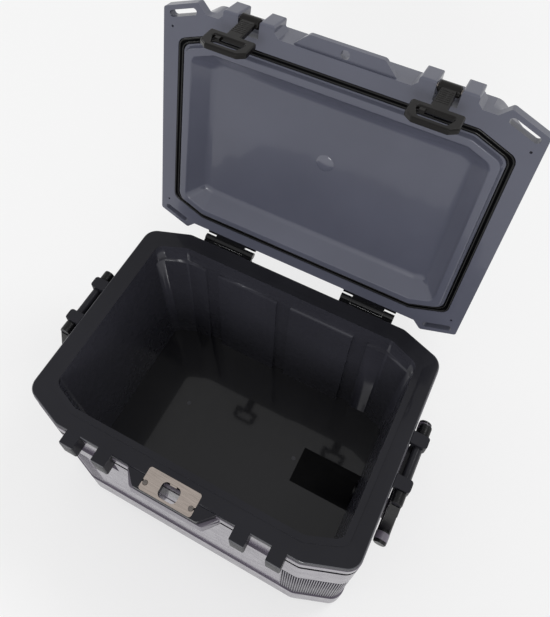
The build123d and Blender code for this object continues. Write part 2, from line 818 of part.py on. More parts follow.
def gasket_groove():
    """Return the room of the groove that the gasket sits in."""
    top = lid_z + gasket_groove_depth
    outer = mouth_outline(gasket_groove_gap + gasket_groove_width)
    return prism(outer, lid_z, top) - prism(mouth_outline(gasket_groove_gap), lid_z, top)


def lid_outer():
    """Return the closed form of the lid's upper shell."""
    form = prism(lid_outline(), lid_z + lid_sheet, lid_z + lid_ledge_height)
    form += prism(lid_upper_outline(), lid_z + lid_ledge_height, lid_z + lid_skirt_height)
    crown = tapered(lid_upper_outline(), lid_z + lid_skirt_height, lid_upper_outline(-lid_top_inset),
                    lid_z + lid_height)
    return form + crown


def lid_room():
    """Return the room inside the lid's upper shell."""
    room = prism(lid_upper_outline(-lid_sheet), lid_z + lid_sheet, lid_z + lid_skirt_height)
    roof = tapered(lid_upper_outline(-lid_sheet), lid_z + lid_skirt_height,
                   lid_upper_outline(-lid_top_inset), lid_z + lid_height - lid_sheet)
    room += roof
    return room - latch_notches(lid_sheet) - corner_holes(lid_hole_radius + lid_sheet)


def make_lid_shell():
    """Return the lid's upper shell, with its shallow top panel."""
    panel = lid_upper_outline(-lid_top_panel_inset)
    shell = lid_outer() - prism(panel, lid_z + lid_height - lid_top_panel_depth, lid_z + lid_height)
    shell -= lid_room()
    shell -= corner_holes()
    shell -= latch_notches()
    return shell - hinge_screw_bodies(hinge_z, 1)


def corner_holes(radius=lid_hole_radius):
    """Return the four small drain holes through the lid's ledge."""
    holes = []
    for x in (-lid_half_x + lid_hole_inset_x, lid_half_x - lid_hole_inset_x):
        for y in (-lid_half_y + lid_hole_inset_y, lid_half_y - lid_hole_inset_y):
            holes.append(rod_z(radius, x, y, lid_z, lid_z + lid_ledge_height))
    return holes


def latch_notches(grow=0.0):
    """Return the two notches in the lid's front edge that the latches turn in."""
    notches = []
    for x in (-latch_centre_x, latch_centre_x):
        half = keeper_gap / 2 + grow
        notches.append(block(x - half, x + half, lid_front, lid_front + latch_notch_depth + grow,
                             lid_z, lid_z + latch_notch_height + grow))
    return notches


def make_gasket():
    """Return the lid gasket, with the lip that meets the liner's flange."""
    inner = gasket_groove_gap + gasket_side_gap
    outer = gasket_groove_gap + gasket_groove_width - gasket_side_gap
    top = lid_z + gasket_groove_depth
    body = prism(mouth_outline(outer), lid_z, top) - prism(mouth_outline(inner), lid_z, top)
    lip_outer = outer - gasket_lip_inset
    lip_inner = inner + gasket_lip_inset
    lip = prism(mouth_outline(lip_outer), lid_z - gasket_lip, lid_z)
    return body + lip - prism(mouth_outline(lip_inner), lid_z - gasket_lip, lid_z)


def loop_faces():
    """Return the plan of one tie-down loop and the plan of its slot, at the right rear corner."""
    chamfer_x = lid_half_x - corner_cut_x
    chamfer_y = lid_half_y - corner_cut_y
    tip_y = lid_half_y + loop_tip_out
    side_root = chamfer_y - loop_root_reach
    points = [(lid_half_x, side_root), (lid_half_x, loop_side_y), (loop_tip_x, tip_y),
              (loop_root_x, lid_half_y), (chamfer_x - loop_root_reach, lid_half_y),
              (chamfer_x - loop_root_reach, side_root)]
    face = make_face(Polyline(*points, close=True))
    outer = [v for v in face.vertices() if v.Y > loop_side_y - 1 and v.X > loop_root_x + 1]
    face = fillet(outer, radius=loop_edge_radius)
    run_x = loop_tip_x - lid_half_x
    run_y = tip_y - loop_side_y
    length = hypot(run_x, run_y)
    inward = loop_strip + loop_slot_width / 2
    middle_x = (loop_tip_x + lid_half_x) / 2 - inward * run_y / length
    middle_y = (tip_y + loop_side_y) / 2 + inward * run_x / length
    turn = degrees(atan2(run_y, run_x))
    slot = Pos(middle_x, middle_y) * Rot(0, 0, turn) * SlotOverall(loop_slot_length, loop_slot_width)
    return face, slot


def make_loops():
    """Return the four tie-down loops at the lid's corners."""
    face, slot = loop_faces()
    loop = prism(face - slot, lid_z, lid_z + lid_ledge_height)
    loop -= prism(lid_outline(), lid_z, lid_z + lid_ledge_height)
    right = [loop, mirror(loop, about=Plane.XZ)]
    return right + [mirror(piece, about=Plane.YZ) for piece in right]


def make_bosses():
    """Return the four bosses on the lid's front that hold the latch pins."""
    bosses = []
    front = lid_front - boss_reach
    for x0, x1 in keeper_ranges():
        boss = block(x0, x1, front, lid_front, lid_z, lid_z + boss_height)
        boss = fillet(boss.faces().sort_by(Axis.Y)[0].edges(), radius=boss_edge_radius)
        middle = (x0 + x1) / 2
        away = 1 if middle > latch_centre_x or -latch_centre_x < middle < 0 else -1
        side = x1 if away > 0 else x0
        flare = make_face(Polyline((side, lid_front), (side + away * boss_flare, lid_front),
                                   (side, lid_front - boss_flare), close=True))
        boss += prism(flare, lid_z, lid_z + boss_height - boss_edge_radius)
        bosses.append(boss - [pin_body(x) for x in (-latch_centre_x, latch_centre_x)])
    return bosses


def pin_body(centre_x):
    """Return the pin of the latch at centre_x, which is held in its two bosses."""
    half = keeper_gap / 2 + latch_pin_seat
    return rod_x(latch_pin_radius, centre_x - half, centre_x + half, latch_pivot_y, latch_pivot_z)


def make_lid_tab():
    """Return the tab in the middle of the lid's front, with its padlock hole."""
    face = wedge_face(lid_tab_root_half, lid_tab_front_half, lid_front, lid_tab_reach, lock_tab_radius)
    tab = prism(face, lid_z + lid_tab_lift, lid_z + lid_tab_lift + lid_tab_thickness)
    return tab - rod_z(padlock_radius, 0, lid_front - padlock_out, lid_z, lid_z + lid_height)


def make_latch(centre_x):
    """Return one rubber latch: hub, stem and the loop that the fingers pull, leaning at rest."""
    stem_half = latch_stem_width / 2
    outline = [(-stem_half, 0), (-stem_half, -latch_shoulder), (-latch_shoulder_half, -latch_shoulder),
               (-latch_shoulder_half, -latch_side_end), (-latch_end_half, -latch_end)]
    face = make_face(Polyline(*outline, *[(-x, z) for x, z in reversed(outline)], close=True))
    wide = [v for v in face.vertices() if v.Y < -latch_shoulder - 1 or abs(v.X) > stem_half + 1]
    face = fillet(wide, radius=latch_corner_radius)
    loop = [(-latch_loop_top_half, -latch_loop_top), (latch_loop_top_half, -latch_loop_top),
            (latch_loop_end_half, -latch_loop_end), (-latch_loop_end_half, -latch_loop_end)]
    hole = make_face(Polyline(*loop, close=True))
    face -= fillet(hole.vertices(), radius=latch_corner_radius)
    blade = extrude(Plane.XZ * face, amount=latch_thickness / 2, both=True)
    sides = blade.faces().sort_by(Axis.Y)
    blade = chamfer(sides[0].edges() + sides[-1].edges(), length=latch_edge_cut)
    hub = Rot(0, 90, 0) * Cylinder(latch_hub_radius, latch_hub_width)
    latch = blade + chamfer(hub.edges().filter_by(GeomType.CIRCLE), length=latch_edge_cut)
    latch -= Rot(0, 90, 0) * Cylinder(latch_pin_radius + running_clearance, latch_hub_width + 2)
    latch = latch.rotate(Axis.X, latch_rest_lean)
    return Pos(centre_x, latch_pivot_y, latch_pivot_z) * latch


def save(name, shape):
    """Write one node's solids to its STEP file."""
    solids = []
    for piece in (shape if isinstance(shape, (list, tuple)) else [shape]):
        solids.extend(piece.solids())
    group = solids[0] if len(solids) == 1 else Compound(children=solids)
    group.label = name
    export_step(group, "parts/" + name + ".step")


def build():
    """Build every node and write it."""
    shell = make_outer_shell()
    liner = make_liner()
    drain = drain_pieces()
    save("outer_shell", shell)
    save("corner_panels", make_corner_panels())
    save("rubber_feet", foot_blocks())
    save("inner_liner", liner)
    save("top_rim", make_rim())
    room = prism(body_outline(-shell_wall), shell_floor, rim_under)
    tub_form = [cavity(), sump(), drain_hole(drain_radius + drain_tube_wall)]
    save("insulation_foam", make_foam(room, liner, *tub_form))
    save("latch_keepers", keeper_blocks())
    save("rim_lock_tab", make_rim_lock_tab())
    save("lock_plate", make_lock_plate())
    save("plate_screws", plate_screw_bodies())
    save("handle_ears", make_handle_ears())
    for name, piece in drain.items():
        save(name, piece)

    first, last, middle = knuckle_spans()
    body_leaf = hinge_leaf([first, last], False) - hinge_screw_bodies(hinge_z, -1)
    lid_leaf = hinge_leaf([middle], True) - hinge_screw_bodies(hinge_z, 1)
    pin = rod_x(hinge_pin_radius, first[0], last[1], hinge_y, hinge_z)
    save("hinge_body_leaves", both_sides(body_leaf))
    save("hinge_pins", both_sides(pin))
    save("hinge_body_screws", hinge_screw_bodies(hinge_z, -1))
    save("hinge_lid_leaves", [open_lid(leaf) for leaf in both_sides(lid_leaf)])
    save("hinge_lid_screws", [open_lid(screw) for screw in hinge_screw_bodies(hinge_z, 1)])

    tray = lid_tray()
    pan_roof = lid_z - plug_depth + pan_depth
    button = Pos(0, -foam_plug_forward, pan_roof) * Cylinder(foam_plug_radius, 2 * foam_plug_height)
    button = chamfer(button.faces().sort_by(Axis.Z)[0].edges(), length=foam_plug_cut)
    save("lid_tray", open_lid(tray - button))
    save("foam_plug", open_lid(button))
    save("lid_shell", open_lid(make_lid_shell()))
    pan_room = tapered(mouth_outline(-pan_inset), lid_z - plug_depth, mouth_outline(-pan_inset - pan_slope),
                       pan_roof)
    screws = hinge_screw_bodies(hinge_z, 1)
    save("lid_foam", open_lid(make_foam(lid_room(), tray, gasket_groove(), pan_room, button, screws)))
    save("lid_gasket", open_lid(make_gasket()))
    save("tie_down_loops", [open_lid(loop) for loop in make_loops()])
    save("latch_bosses", [open_lid(boss) for boss in make_bosses()])
    save("lid_lock_tab", open_lid(make_lid_tab()))
    save("latch_pins", [open_lid(pin_body(x)) for x in (-latch_centre_x, latch_centre_x)])
    save("latch_left", open_lid(make_latch(-latch_centre_x)))
    save("latch_right", open_lid(make_latch(latch_centre_x)))

    for name, piece in handle_pieces().items():
        group = piece if isinstance(piece, list) else [piece]
        save(name + "_right", group)
        save(name + "_left", [mirror(solid, about=Plane.YZ) for solid in group])


build()
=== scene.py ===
"""Looks of an open hard cooler: moulded plastics, rubber, steel, ribs, screws, lights and camera.

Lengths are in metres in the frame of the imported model: +X right, +Y back, +Z up, base at z = 0.
"""
import logging
import math
from abc import ABC, abstractmethod
from collections.abc import Callable, Sequence
from dataclasses import dataclass
from enum import Enum

import bmesh
import bpy
from bpy.types import Material, Mesh, Node, NodeSocket, NodeTree, Object
from mathutils import Matrix, Vector


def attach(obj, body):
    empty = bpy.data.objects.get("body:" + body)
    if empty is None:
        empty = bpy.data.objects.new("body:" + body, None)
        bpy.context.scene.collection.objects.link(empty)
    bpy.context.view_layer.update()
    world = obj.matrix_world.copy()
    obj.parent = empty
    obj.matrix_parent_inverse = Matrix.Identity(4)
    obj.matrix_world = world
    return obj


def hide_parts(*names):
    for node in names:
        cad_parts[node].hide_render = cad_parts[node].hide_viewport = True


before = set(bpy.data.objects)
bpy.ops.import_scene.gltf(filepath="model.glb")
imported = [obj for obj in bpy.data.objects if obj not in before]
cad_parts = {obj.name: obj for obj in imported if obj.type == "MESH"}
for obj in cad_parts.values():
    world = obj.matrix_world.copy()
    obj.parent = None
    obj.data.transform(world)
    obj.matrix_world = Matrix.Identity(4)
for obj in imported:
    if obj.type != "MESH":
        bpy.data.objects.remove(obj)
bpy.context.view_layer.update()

LOG = logging.getLogger("cooler")
MM = 0.001

Point = tuple[float, float, float]
Colour = tuple[float, float, float, float]
Inputs = dict[str | int, object]
Rule = Callable[[list[Vector], Vector], bool]


def rgb(red: float, green: float, blue: float) -> Colour:
    """Turn a colour as seen on a screen into the linear colour that shaders use.

    Args:
        red: Red from 0 to 255.
        green: Green from 0 to 255.
        blue: Blue from 0 to 255.

    Returns:
        The linear colour with full alpha.
    """
    def linear(value: float) -> float:
        """Return one channel in linear light."""
        part = value / 255.0
        return part / 12.92 if part <= 0.04045 else ((part + 0.055) / 1.055) ** 2.4

    return linear(red), linear(green), linear(blue), 1.0


def shade(colour: Colour, factor: float, lift: float = 0.0) -> Colour:
    """Return a darker or lighter tone of a colour, with no channel above 1."""
    return (*(min(1.0, channel * factor + lift) for channel in colour[:3]), 1.0)


class Side(Enum):
    """The two sides of the cooler, with the sign that X has there."""

    LEFT = -1
    RIGHT = 1

    @property
    def word(self) -> str:
        """Return the side as the names of nodes and bodies say it."""
        return self.name.lower()


class Grain(Enum):
    """Kinds of fine surface relief."""

    LEATHER = "leather"
    SAND = "sand"
    POLISHED = "polished"


class Section(Enum):
    """Sections that a sweep can draw along a curve, by the node that makes them."""

    BOX = "GeometryNodeCurvePrimitiveQuadrilateral"
    ROUND = "GeometryNodeCurvePrimitiveCircle"


class Edges(Enum):
    """Which edges a rounding takes, as the bevel says it."""

    BENT = "ANGLE"
    MARKED = "WEIGHT"


class Tree:
    """A node tree, with short calls for what the finishes, the sky and the recipes share."""

    def __init__(self, tree: NodeTree) -> None:
        """Take up a node tree."""
        self.tree = tree

    def feed(self, node: Node, inputs: Inputs) -> Node:
        """Set inputs of a node.

        Args:
            node: The node.
            inputs: A value or a socket for each input, by the input's name or number.

        Returns:
            The same node.
        """
        for name, value in inputs.items():
            if isinstance(value, NodeSocket):
                self.tree.links.new(value, node.inputs[name])
            else:
                node.inputs[name].default_value = value
        return node

    def add(self, kind: str, inputs: Inputs | None = None, **settings: object) -> Node:
        """Add a node.

        Args:
            kind: The node's type name.
            inputs: A value or a socket for each input that is set, by the input's name or number.
            **settings: Properties of the node by name.

        Returns:
            The new node.
        """
        node = self.tree.nodes.new(kind)
        for name, value in settings.items():
            setattr(node, name, value)
        return self.feed(node, inputs or {})

    def reckon(self, operation: str, first: object, second: object) -> NodeSocket:
        """Join two values or sockets in a Math node and return the result."""
        return self.add("ShaderNodeMath", {0: first, 1: second}, operation=operation).outputs[0]

    def seen_plainly(self) -> NodeSocket:
        """Tell the rays that show a plain white from the rays that light the scene.

        Returns:
            1 for rays of the camera, of gloss and through clear pieces, and 0 for all others.
        """
        paths = self.add("ShaderNodeLightPath").outputs
        seen = self.reckon("MAXIMUM", paths["Is Camera Ray"], paths["Is Glossy Ray"])
        return self.reckon("MAXIMUM", seen, paths["Is Transmission Ray"])

    def blend_surface(self, output: str, factor: NodeSocket, first: Node, second: Node) -> None:
        """End the tree's output node with a blend of two shaders."""
        mixer = self.add("ShaderNodeMixShader", {"Fac": factor, 1: first.outputs[0], 2: second.outputs[0]})
        self.feed(self.tree.nodes[output], {"Surface": mixer.outputs[0]})


class Graph(Tree):
    """A material's node tree around its Principled shader, on Object coordinates."""

    def __init__(self, name: str) -> None:
        """Start an empty material.

        Args:
            name: The material's name.
        """
        self.material = bpy.data.materials.new(name)
        self.material.use_nodes = True
        super().__init__(self.material.node_tree)
        self.shader = self.tree.nodes["Principled BSDF"]
        self.coords = self.add("ShaderNodeTexCoord").outputs["Object"]

    def noise(self, scale: float, detail: float = 2.0, stretch: Point = (1.0, 1.0, 1.0)) -> NodeSocket:
        """Add a noise.

        Args:
            scale: Waves per metre.
            detail: Octaves of the noise.
            stretch: Factor along each axis.

        Returns:
            The noise's value.
        """
        mapping = self.add("ShaderNodeMapping", {"Scale": stretch, "Vector": self.coords})
        waves = {"Scale": scale, "Detail": detail, "Vector": mapping.outputs["Vector"]}
        return self.add("ShaderNodeTexNoise", waves).outputs["Fac"]

    def cells(self, scale: float, smooth: float = 0.6) -> NodeSocket:
        """Add soft cells, as in a leather-like mould grain, and return their distance value."""
        inputs = {"Scale": scale, "Smoothness": smooth, "Vector": self.coords}
        return self.add("ShaderNodeTexVoronoi", inputs, feature="SMOOTH_F1").outputs["Distance"]

    def spread(self, value: NodeSocket, low: float, high: float) -> NodeSocket:
        """Map a value from its middle range, 0.3 to 0.7, onto low to high."""
        inputs = {"Value": value, "From Min": 0.3, "From Max": 0.7, "To Min": low, "To Max": high}
        return self.add("ShaderNodeMapRange", inputs).outputs["Result"]

    def mix(self, factor: NodeSocket, first: Colour, second: Colour) -> NodeSocket:
        """Blend two colours by a value and return the colour."""
        return self.add("ShaderNodeMix", {0: factor, 6: first, 7: second}, data_type="RGBA").outputs[2]

    def bump(self, height: NodeSocket, depth: float, strength: float,
             under: NodeSocket | None = None) -> NodeSocket:
        """Add a relief.

        Args:
            height: The relief's height from 0 to 1.
            depth: The full height in metres.
            strength: How much of it shows, from 0 to 1.
            under: The normal of a coarser relief below this one.

        Returns:
            The bent normal.
        """
        node = self.add("ShaderNodeBump", {"Height": height, "Distance": depth, "Strength": strength})
        if under is not None:
            self.feed(node, {"Normal": under})
        return node.outputs["Normal"]


@dataclass(frozen=True)
class MouldedPlastic:
    """A moulded plastic with a fine grain, a slight ripple and a little variation of colour and gloss."""

    name: str
    colour: Colour
    variation: float = 0.12
    cloud_scale: float = 9.0
    roughness: float = 0.42
    gloss_variation: float = 0.05
    gloss_scale: float = 60.0
    specular: float = 0.5
    grain: Grain = Grain.SAND
    grain_size: float = 0.0007
    grain_depth: float = 0.00006
    grain_strength: float = 0.6
    ripple_depth: float = 0.0
    ripple_size: float = 0.05
    coat: float = 0.0
    coat_roughness: float = 0.08

    def relief(self, graph: Graph) -> NodeSocket | None:
        """Add the ripple and the grain.

        Args:
            graph: The material's tree.

        Returns:
            The bent normal, or None where the surface is smooth.
        """
        normal = None
        if self.ripple_depth > 0.0:
            normal = graph.bump(graph.noise(1.0 / self.ripple_size, detail=1.0), self.ripple_depth, 1.0)
        if self.grain is Grain.POLISHED:
            return normal
        if self.grain is Grain.LEATHER:
            fine = graph.cells(1.0 / self.grain_size)
        else:
            fine = graph.noise(1.0 / self.grain_size, detail=3.0)
        return graph.bump(fine, self.grain_depth, self.grain_strength, normal)

    def make(self) -> Material:
        """Build the material.

        Returns:
            The material.
        """
        graph = Graph(self.name)
        cloud = graph.spread(graph.noise(self.cloud_scale, detail=3.0), 0.0, 1.0)
        dark, light = shade(self.colour, 1.0 - self.variation), shade(self.colour, 1.0 + self.variation)
        graph.feed(graph.shader, {
            "Base Color": graph.mix(cloud, dark, light),
            "Roughness": graph.spread(graph.noise(self.gloss_scale, detail=4.0),
                                      self.roughness - self.gloss_variation,
                                      self.roughness + self.gloss_variation),
            "Specular IOR Level": self.specular,
            "Coat Weight": self.coat,
            "Coat Roughness": self.coat_roughness,
        })
        normal = self.relief(graph)
        if normal is not None:
            graph.feed(graph.shader, {"Normal": normal})
        return graph.material


@dataclass(frozen=True)
class Rubber:
    """A moulded rubber, lighter and rougher in soft random patches, with a fine grain."""

    name: str
    colour: Colour
    rub: float = 1.5
    rub_lift: float = 0.002
    cloud_scale: float = 40.0
    roughness: float = 0.55
    gloss_variation: float = 0.08
    grain_size: float = 0.0009
    grain_depth: float = 0.00008
    grain_strength: float = 0.5
    specular: float = 0.14

    def make(self) -> Material:
        """Build the material.

        Returns:
            The material.
        """
        graph = Graph(self.name)
        cloud = graph.noise(self.cloud_scale, detail=4.0)
        fine = graph.noise(1.0 / self.grain_size, detail=4.0)
        rubbed = shade(self.colour, self.rub, self.rub_lift)
        graph.feed(graph.shader, {
            "Base Color": graph.mix(graph.spread(cloud, 0.0, 0.7), self.colour, rubbed),
            "Roughness": graph.spread(cloud, self.roughness - self.gloss_variation,
                                      self.roughness + self.gloss_variation),
            "Specular IOR Level": self.specular,
            "Normal": graph.bump(fine, self.grain_depth, self.grain_strength),
        })
        return graph.material


@dataclass(frozen=True)
class BrushedSteel:
    """A steel sheet with fine brushed lines along one axis and light scratches."""

    name: str
    colour: Colour
    dark: float = 0.82
    light: float = 1.12
    roughness: float = 0.32
    smoother: float = 0.1
    rougher: float = 0.12
    line_size: float = 0.0004
    line_depth: float = 0.00002
    line_strength: float = 0.5
    run: Point = (0.02, 1.0, 1.0)

    def make(self) -> Material:
        """Build the material.

        Returns:
            The material.
        """
        graph = Graph(self.name)
        lines = graph.noise(1.0 / self.line_size, 2.0, self.run)
        dark, light = shade(self.colour, self.dark), shade(self.colour, self.light)
        graph.feed(graph.shader, {
            "Metallic": 1.0,
            "Base Color": graph.mix(graph.spread(lines, 0.0, 1.0), dark, light),
            "Roughness": graph.spread(lines, self.roughness - self.smoother, self.roughness + self.rougher),
            "Normal": graph.bump(lines, self.line_depth, self.line_strength),
        })
        return graph.material


@dataclass(frozen=True)
class StageWhite:
    """The pale floor: nearly plain to the camera and in gloss, with some of the shade that falls on it."""

    name: str = "stage_white"
    level: float = 0.95
    roughness: float = 0.9
    glow: float = 1.0
    share: float = 0.55

    def make(self) -> Material:
        """Build the material.

        Returns:
            The material.
        """
        graph = Graph(self.name)
        graph.feed(graph.shader, {"Roughness": self.roughness, "Specular IOR Level": 0.0,
                                  "Base Color": (self.level, self.level, self.level, 1.0)})
        glow = graph.add("ShaderNodeEmission", {"Color": (self.glow, self.glow, self.glow, 1.0)})
        share = graph.reckon("MULTIPLY", graph.seen_plainly(), self.share)
        graph.blend_surface("Material Output", share, graph.shader, glow)
        return graph.material


class Finishes:
    """All finishes of the cooler, made once and named for what they cover."""

    def __init__(self) -> None:
        """Make every finish."""
        self.shell = MouldedPlastic("shell_mauve_grey", rgb(108, 102, 114), roughness=0.24, coat=0.1,
                                    grain_depth=0.00002, ripple_depth=0.0006, ripple_size=0.09).make()
        self.ribs = MouldedPlastic("rib_mauve_grey", rgb(118, 113, 124), roughness=0.3).make()
        # Painted shade: this dark slate darkens the gap below the bead and the strips between the corner
        # ribs.
        self.gap = MouldedPlastic("gap_slate", rgb(36, 34, 42), roughness=0.5, specular=0.2).make()
        # Painted shade: the liner's floor gets a darker tone than its walls; its coat is real gloss.
        self.shaded_floor = MouldedPlastic("liner_floor_charcoal", rgb(29, 29, 33), roughness=0.2,
                                          specular=0.1, coat=0.38, coat_roughness=0.05,
                                          grain_depth=0.00001).make()
        # Painted shade: near black in the sump's sloping recess.
        self.sump = MouldedPlastic("sump_black", rgb(9, 9, 11), roughness=0.4, specular=0.05).make()
        self.rim = MouldedPlastic("rim_charcoal", rgb(33, 33, 38), roughness=0.5, specular=0.05,
                                  coat=0.22).make()
        # Painted highlight: a lighter tone on the rounded upper edges; their gloss is real.
        self.edge_highlight = MouldedPlastic("rim_edge_charcoal", rgb(60, 60, 67), variation=0.04, roughness=0.16,
                                       grain=Grain.POLISHED, coat=0.6).make()
        self.liner = MouldedPlastic("liner_charcoal", rgb(60, 60, 68), roughness=0.28, specular=0.1,
                                    coat=0.5, coat_roughness=0.2, grain_depth=0.00001,
                                    ripple_depth=0.0006, ripple_size=0.09).make()
        self.lid = MouldedPlastic("lid_blue_grey", rgb(88, 90, 104), variation=0.06, roughness=0.34,
                                  specular=0.3, coat=0.4, grain=Grain.LEATHER, grain_depth=0.00003,
                                  ripple_depth=0.0005).make()
        self.dome = MouldedPlastic("dome_blue_grey", rgb(94, 96, 110), variation=0.03, roughness=0.2,
                                   grain=Grain.POLISHED, coat=0.6).make()
        self.hardware = MouldedPlastic("hardware_black", rgb(16, 16, 18), roughness=0.28,
                                       specular=0.25).make()
        self.latch = Rubber("latch_black_brown", rgb(13, 11, 10), roughness=0.22, specular=0.2).make()
        self.seal = Rubber("seal_black", rgb(2, 2, 3), roughness=0.4, specular=0.02).make()
        self.seal_lip = Rubber("seal_lip_black", rgb(3, 3, 4), roughness=0.1, specular=0.3,
                               grain_depth=0.00001).make()
        self.plate = BrushedSteel("plate_steel", rgb(162, 152, 145)).make()
        self.bolt = BrushedSteel("bolt_steel", rgb(110, 105, 102), roughness=0.3).make()
        self.foam = MouldedPlastic("foam_cream", rgb(214, 200, 150), roughness=0.9).make()
        self.stage = StageWhite().make()


def dress(finish: Material, *nodes: str) -> None:
    """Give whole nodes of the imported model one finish.

    Args:
        finish: The material for all their faces.
        *nodes: The nodes' names.
    """
    for node in nodes:
        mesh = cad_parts[node].data
        mesh.materials.clear()
        mesh.materials.append(finish)


def link_object(name: str, mesh: Mesh, finish: Material) -> Object:
    """Link a mesh into the scene.

    Args:
        name: The name of the new object.
        mesh: Its mesh, with its place already in it.
        finish: The one material that the mesh keeps.

    Returns:
        The object.
    """
    mesh.materials.clear()
    mesh.materials.append(finish)
    piece = bpy.data.objects.new(name, mesh)
    bpy.context.scene.collection.objects.link(piece)
    return piece


def make_piece(name: str, mesh: Mesh, finish: Material) -> Object:
    """Link a finished mesh into the scene as a piece, report it and return it."""
    LOG.info("%s, %d faces", name, len(mesh.polygons))
    return link_object(name, mesh, finish)


def merge(mesh: Mesh, flatten: bool = False, reach: float = 0.00002, bend: float = 0.0035) -> None:
    """Merge a mesh's doubles, and clear the edges inside its flat faces if asked.

    Args:
        mesh: The mesh to change in place.
        flatten: Whether flat faces lose their inner edges.
        reach: How far apart doubles may be.
        bend: The largest bend in radians that still counts as flat.
    """
    shape = bmesh.new()
    shape.from_mesh(mesh)
    bmesh.ops.remove_doubles(shape, verts=shape.verts, dist=reach)
    if flatten:
        bmesh.ops.dissolve_limit(shape, angle_limit=bend, verts=shape.verts, edges=shape.edges)
    shape.to_mesh(mesh)
    shape.free()


def plain_mesh(piece: Object, name: str) -> Mesh:
    """Turn an object with live modifiers into a plain mesh.

    Args:
        piece: The object to read. It is removed.
        name: The name of the new mesh.

    Returns:
        The mesh with all modifiers applied.
    """
    bpy.context.view_layer.update()
    graph = bpy.context.evaluated_depsgraph_get()
    mesh = bpy.data.meshes.new_from_object(piece.evaluated_get(graph), depsgraph=graph)
    mesh.name = name
    bpy.data.objects.remove(piece)
    return mesh


def mesh_of(name: str, points: Sequence[Sequence[float]], edges: Sequence[tuple[int, int]] = (),
            faces: Sequence[Sequence[int]] = ()) -> Mesh:
    """Make a mesh of loose points, edges or faces.

    Args:
        name: The mesh's name.
        points: The place of each point.
        edges: The two ends of each edge, as numbers of points.
        faces: The corners of each face, as numbers of points.

    Returns:
        The mesh.
    """
    mesh = bpy.data.meshes.new(name)
    mesh.from_pydata([tuple(point) for point in points], list(edges), list(faces))
    return mesh


def mesh_from(name: str, shape: bmesh.types.BMesh) -> Mesh:
    """Turn a shape into a mesh and free the shape.

    Args:
        name: The mesh's name.
        shape: The shape to turn.

    Returns:
        The mesh.
    """
    mesh = bpy.data.meshes.new(name)
    shape.to_mesh(mesh)
    shape.free()
    return mesh


def box_mesh(name: str, middle: Point, size: Point) -> Mesh:
    """Make a box.

    Args:
        name: The mesh's name.
        middle: The box's middle.
        size: Its length along each axis.

    Returns:
        The box.
    """
    shape = bmesh.new()
    place = Matrix.Translation(middle) @ Matrix.Diagonal((*size, 1.0))
    bmesh.ops.create_cube(shape, size=1.0, matrix=place)
    return mesh_from(name, shape)


def smooth(mesh: Mesh, sharp: float) -> None:
    """Shade a mesh smooth, apart from edges that bend more than the sharp angle in degrees."""
    mesh.shade_smooth()
    mesh.set_sharp_from_angle(angle=math.radians(sharp))


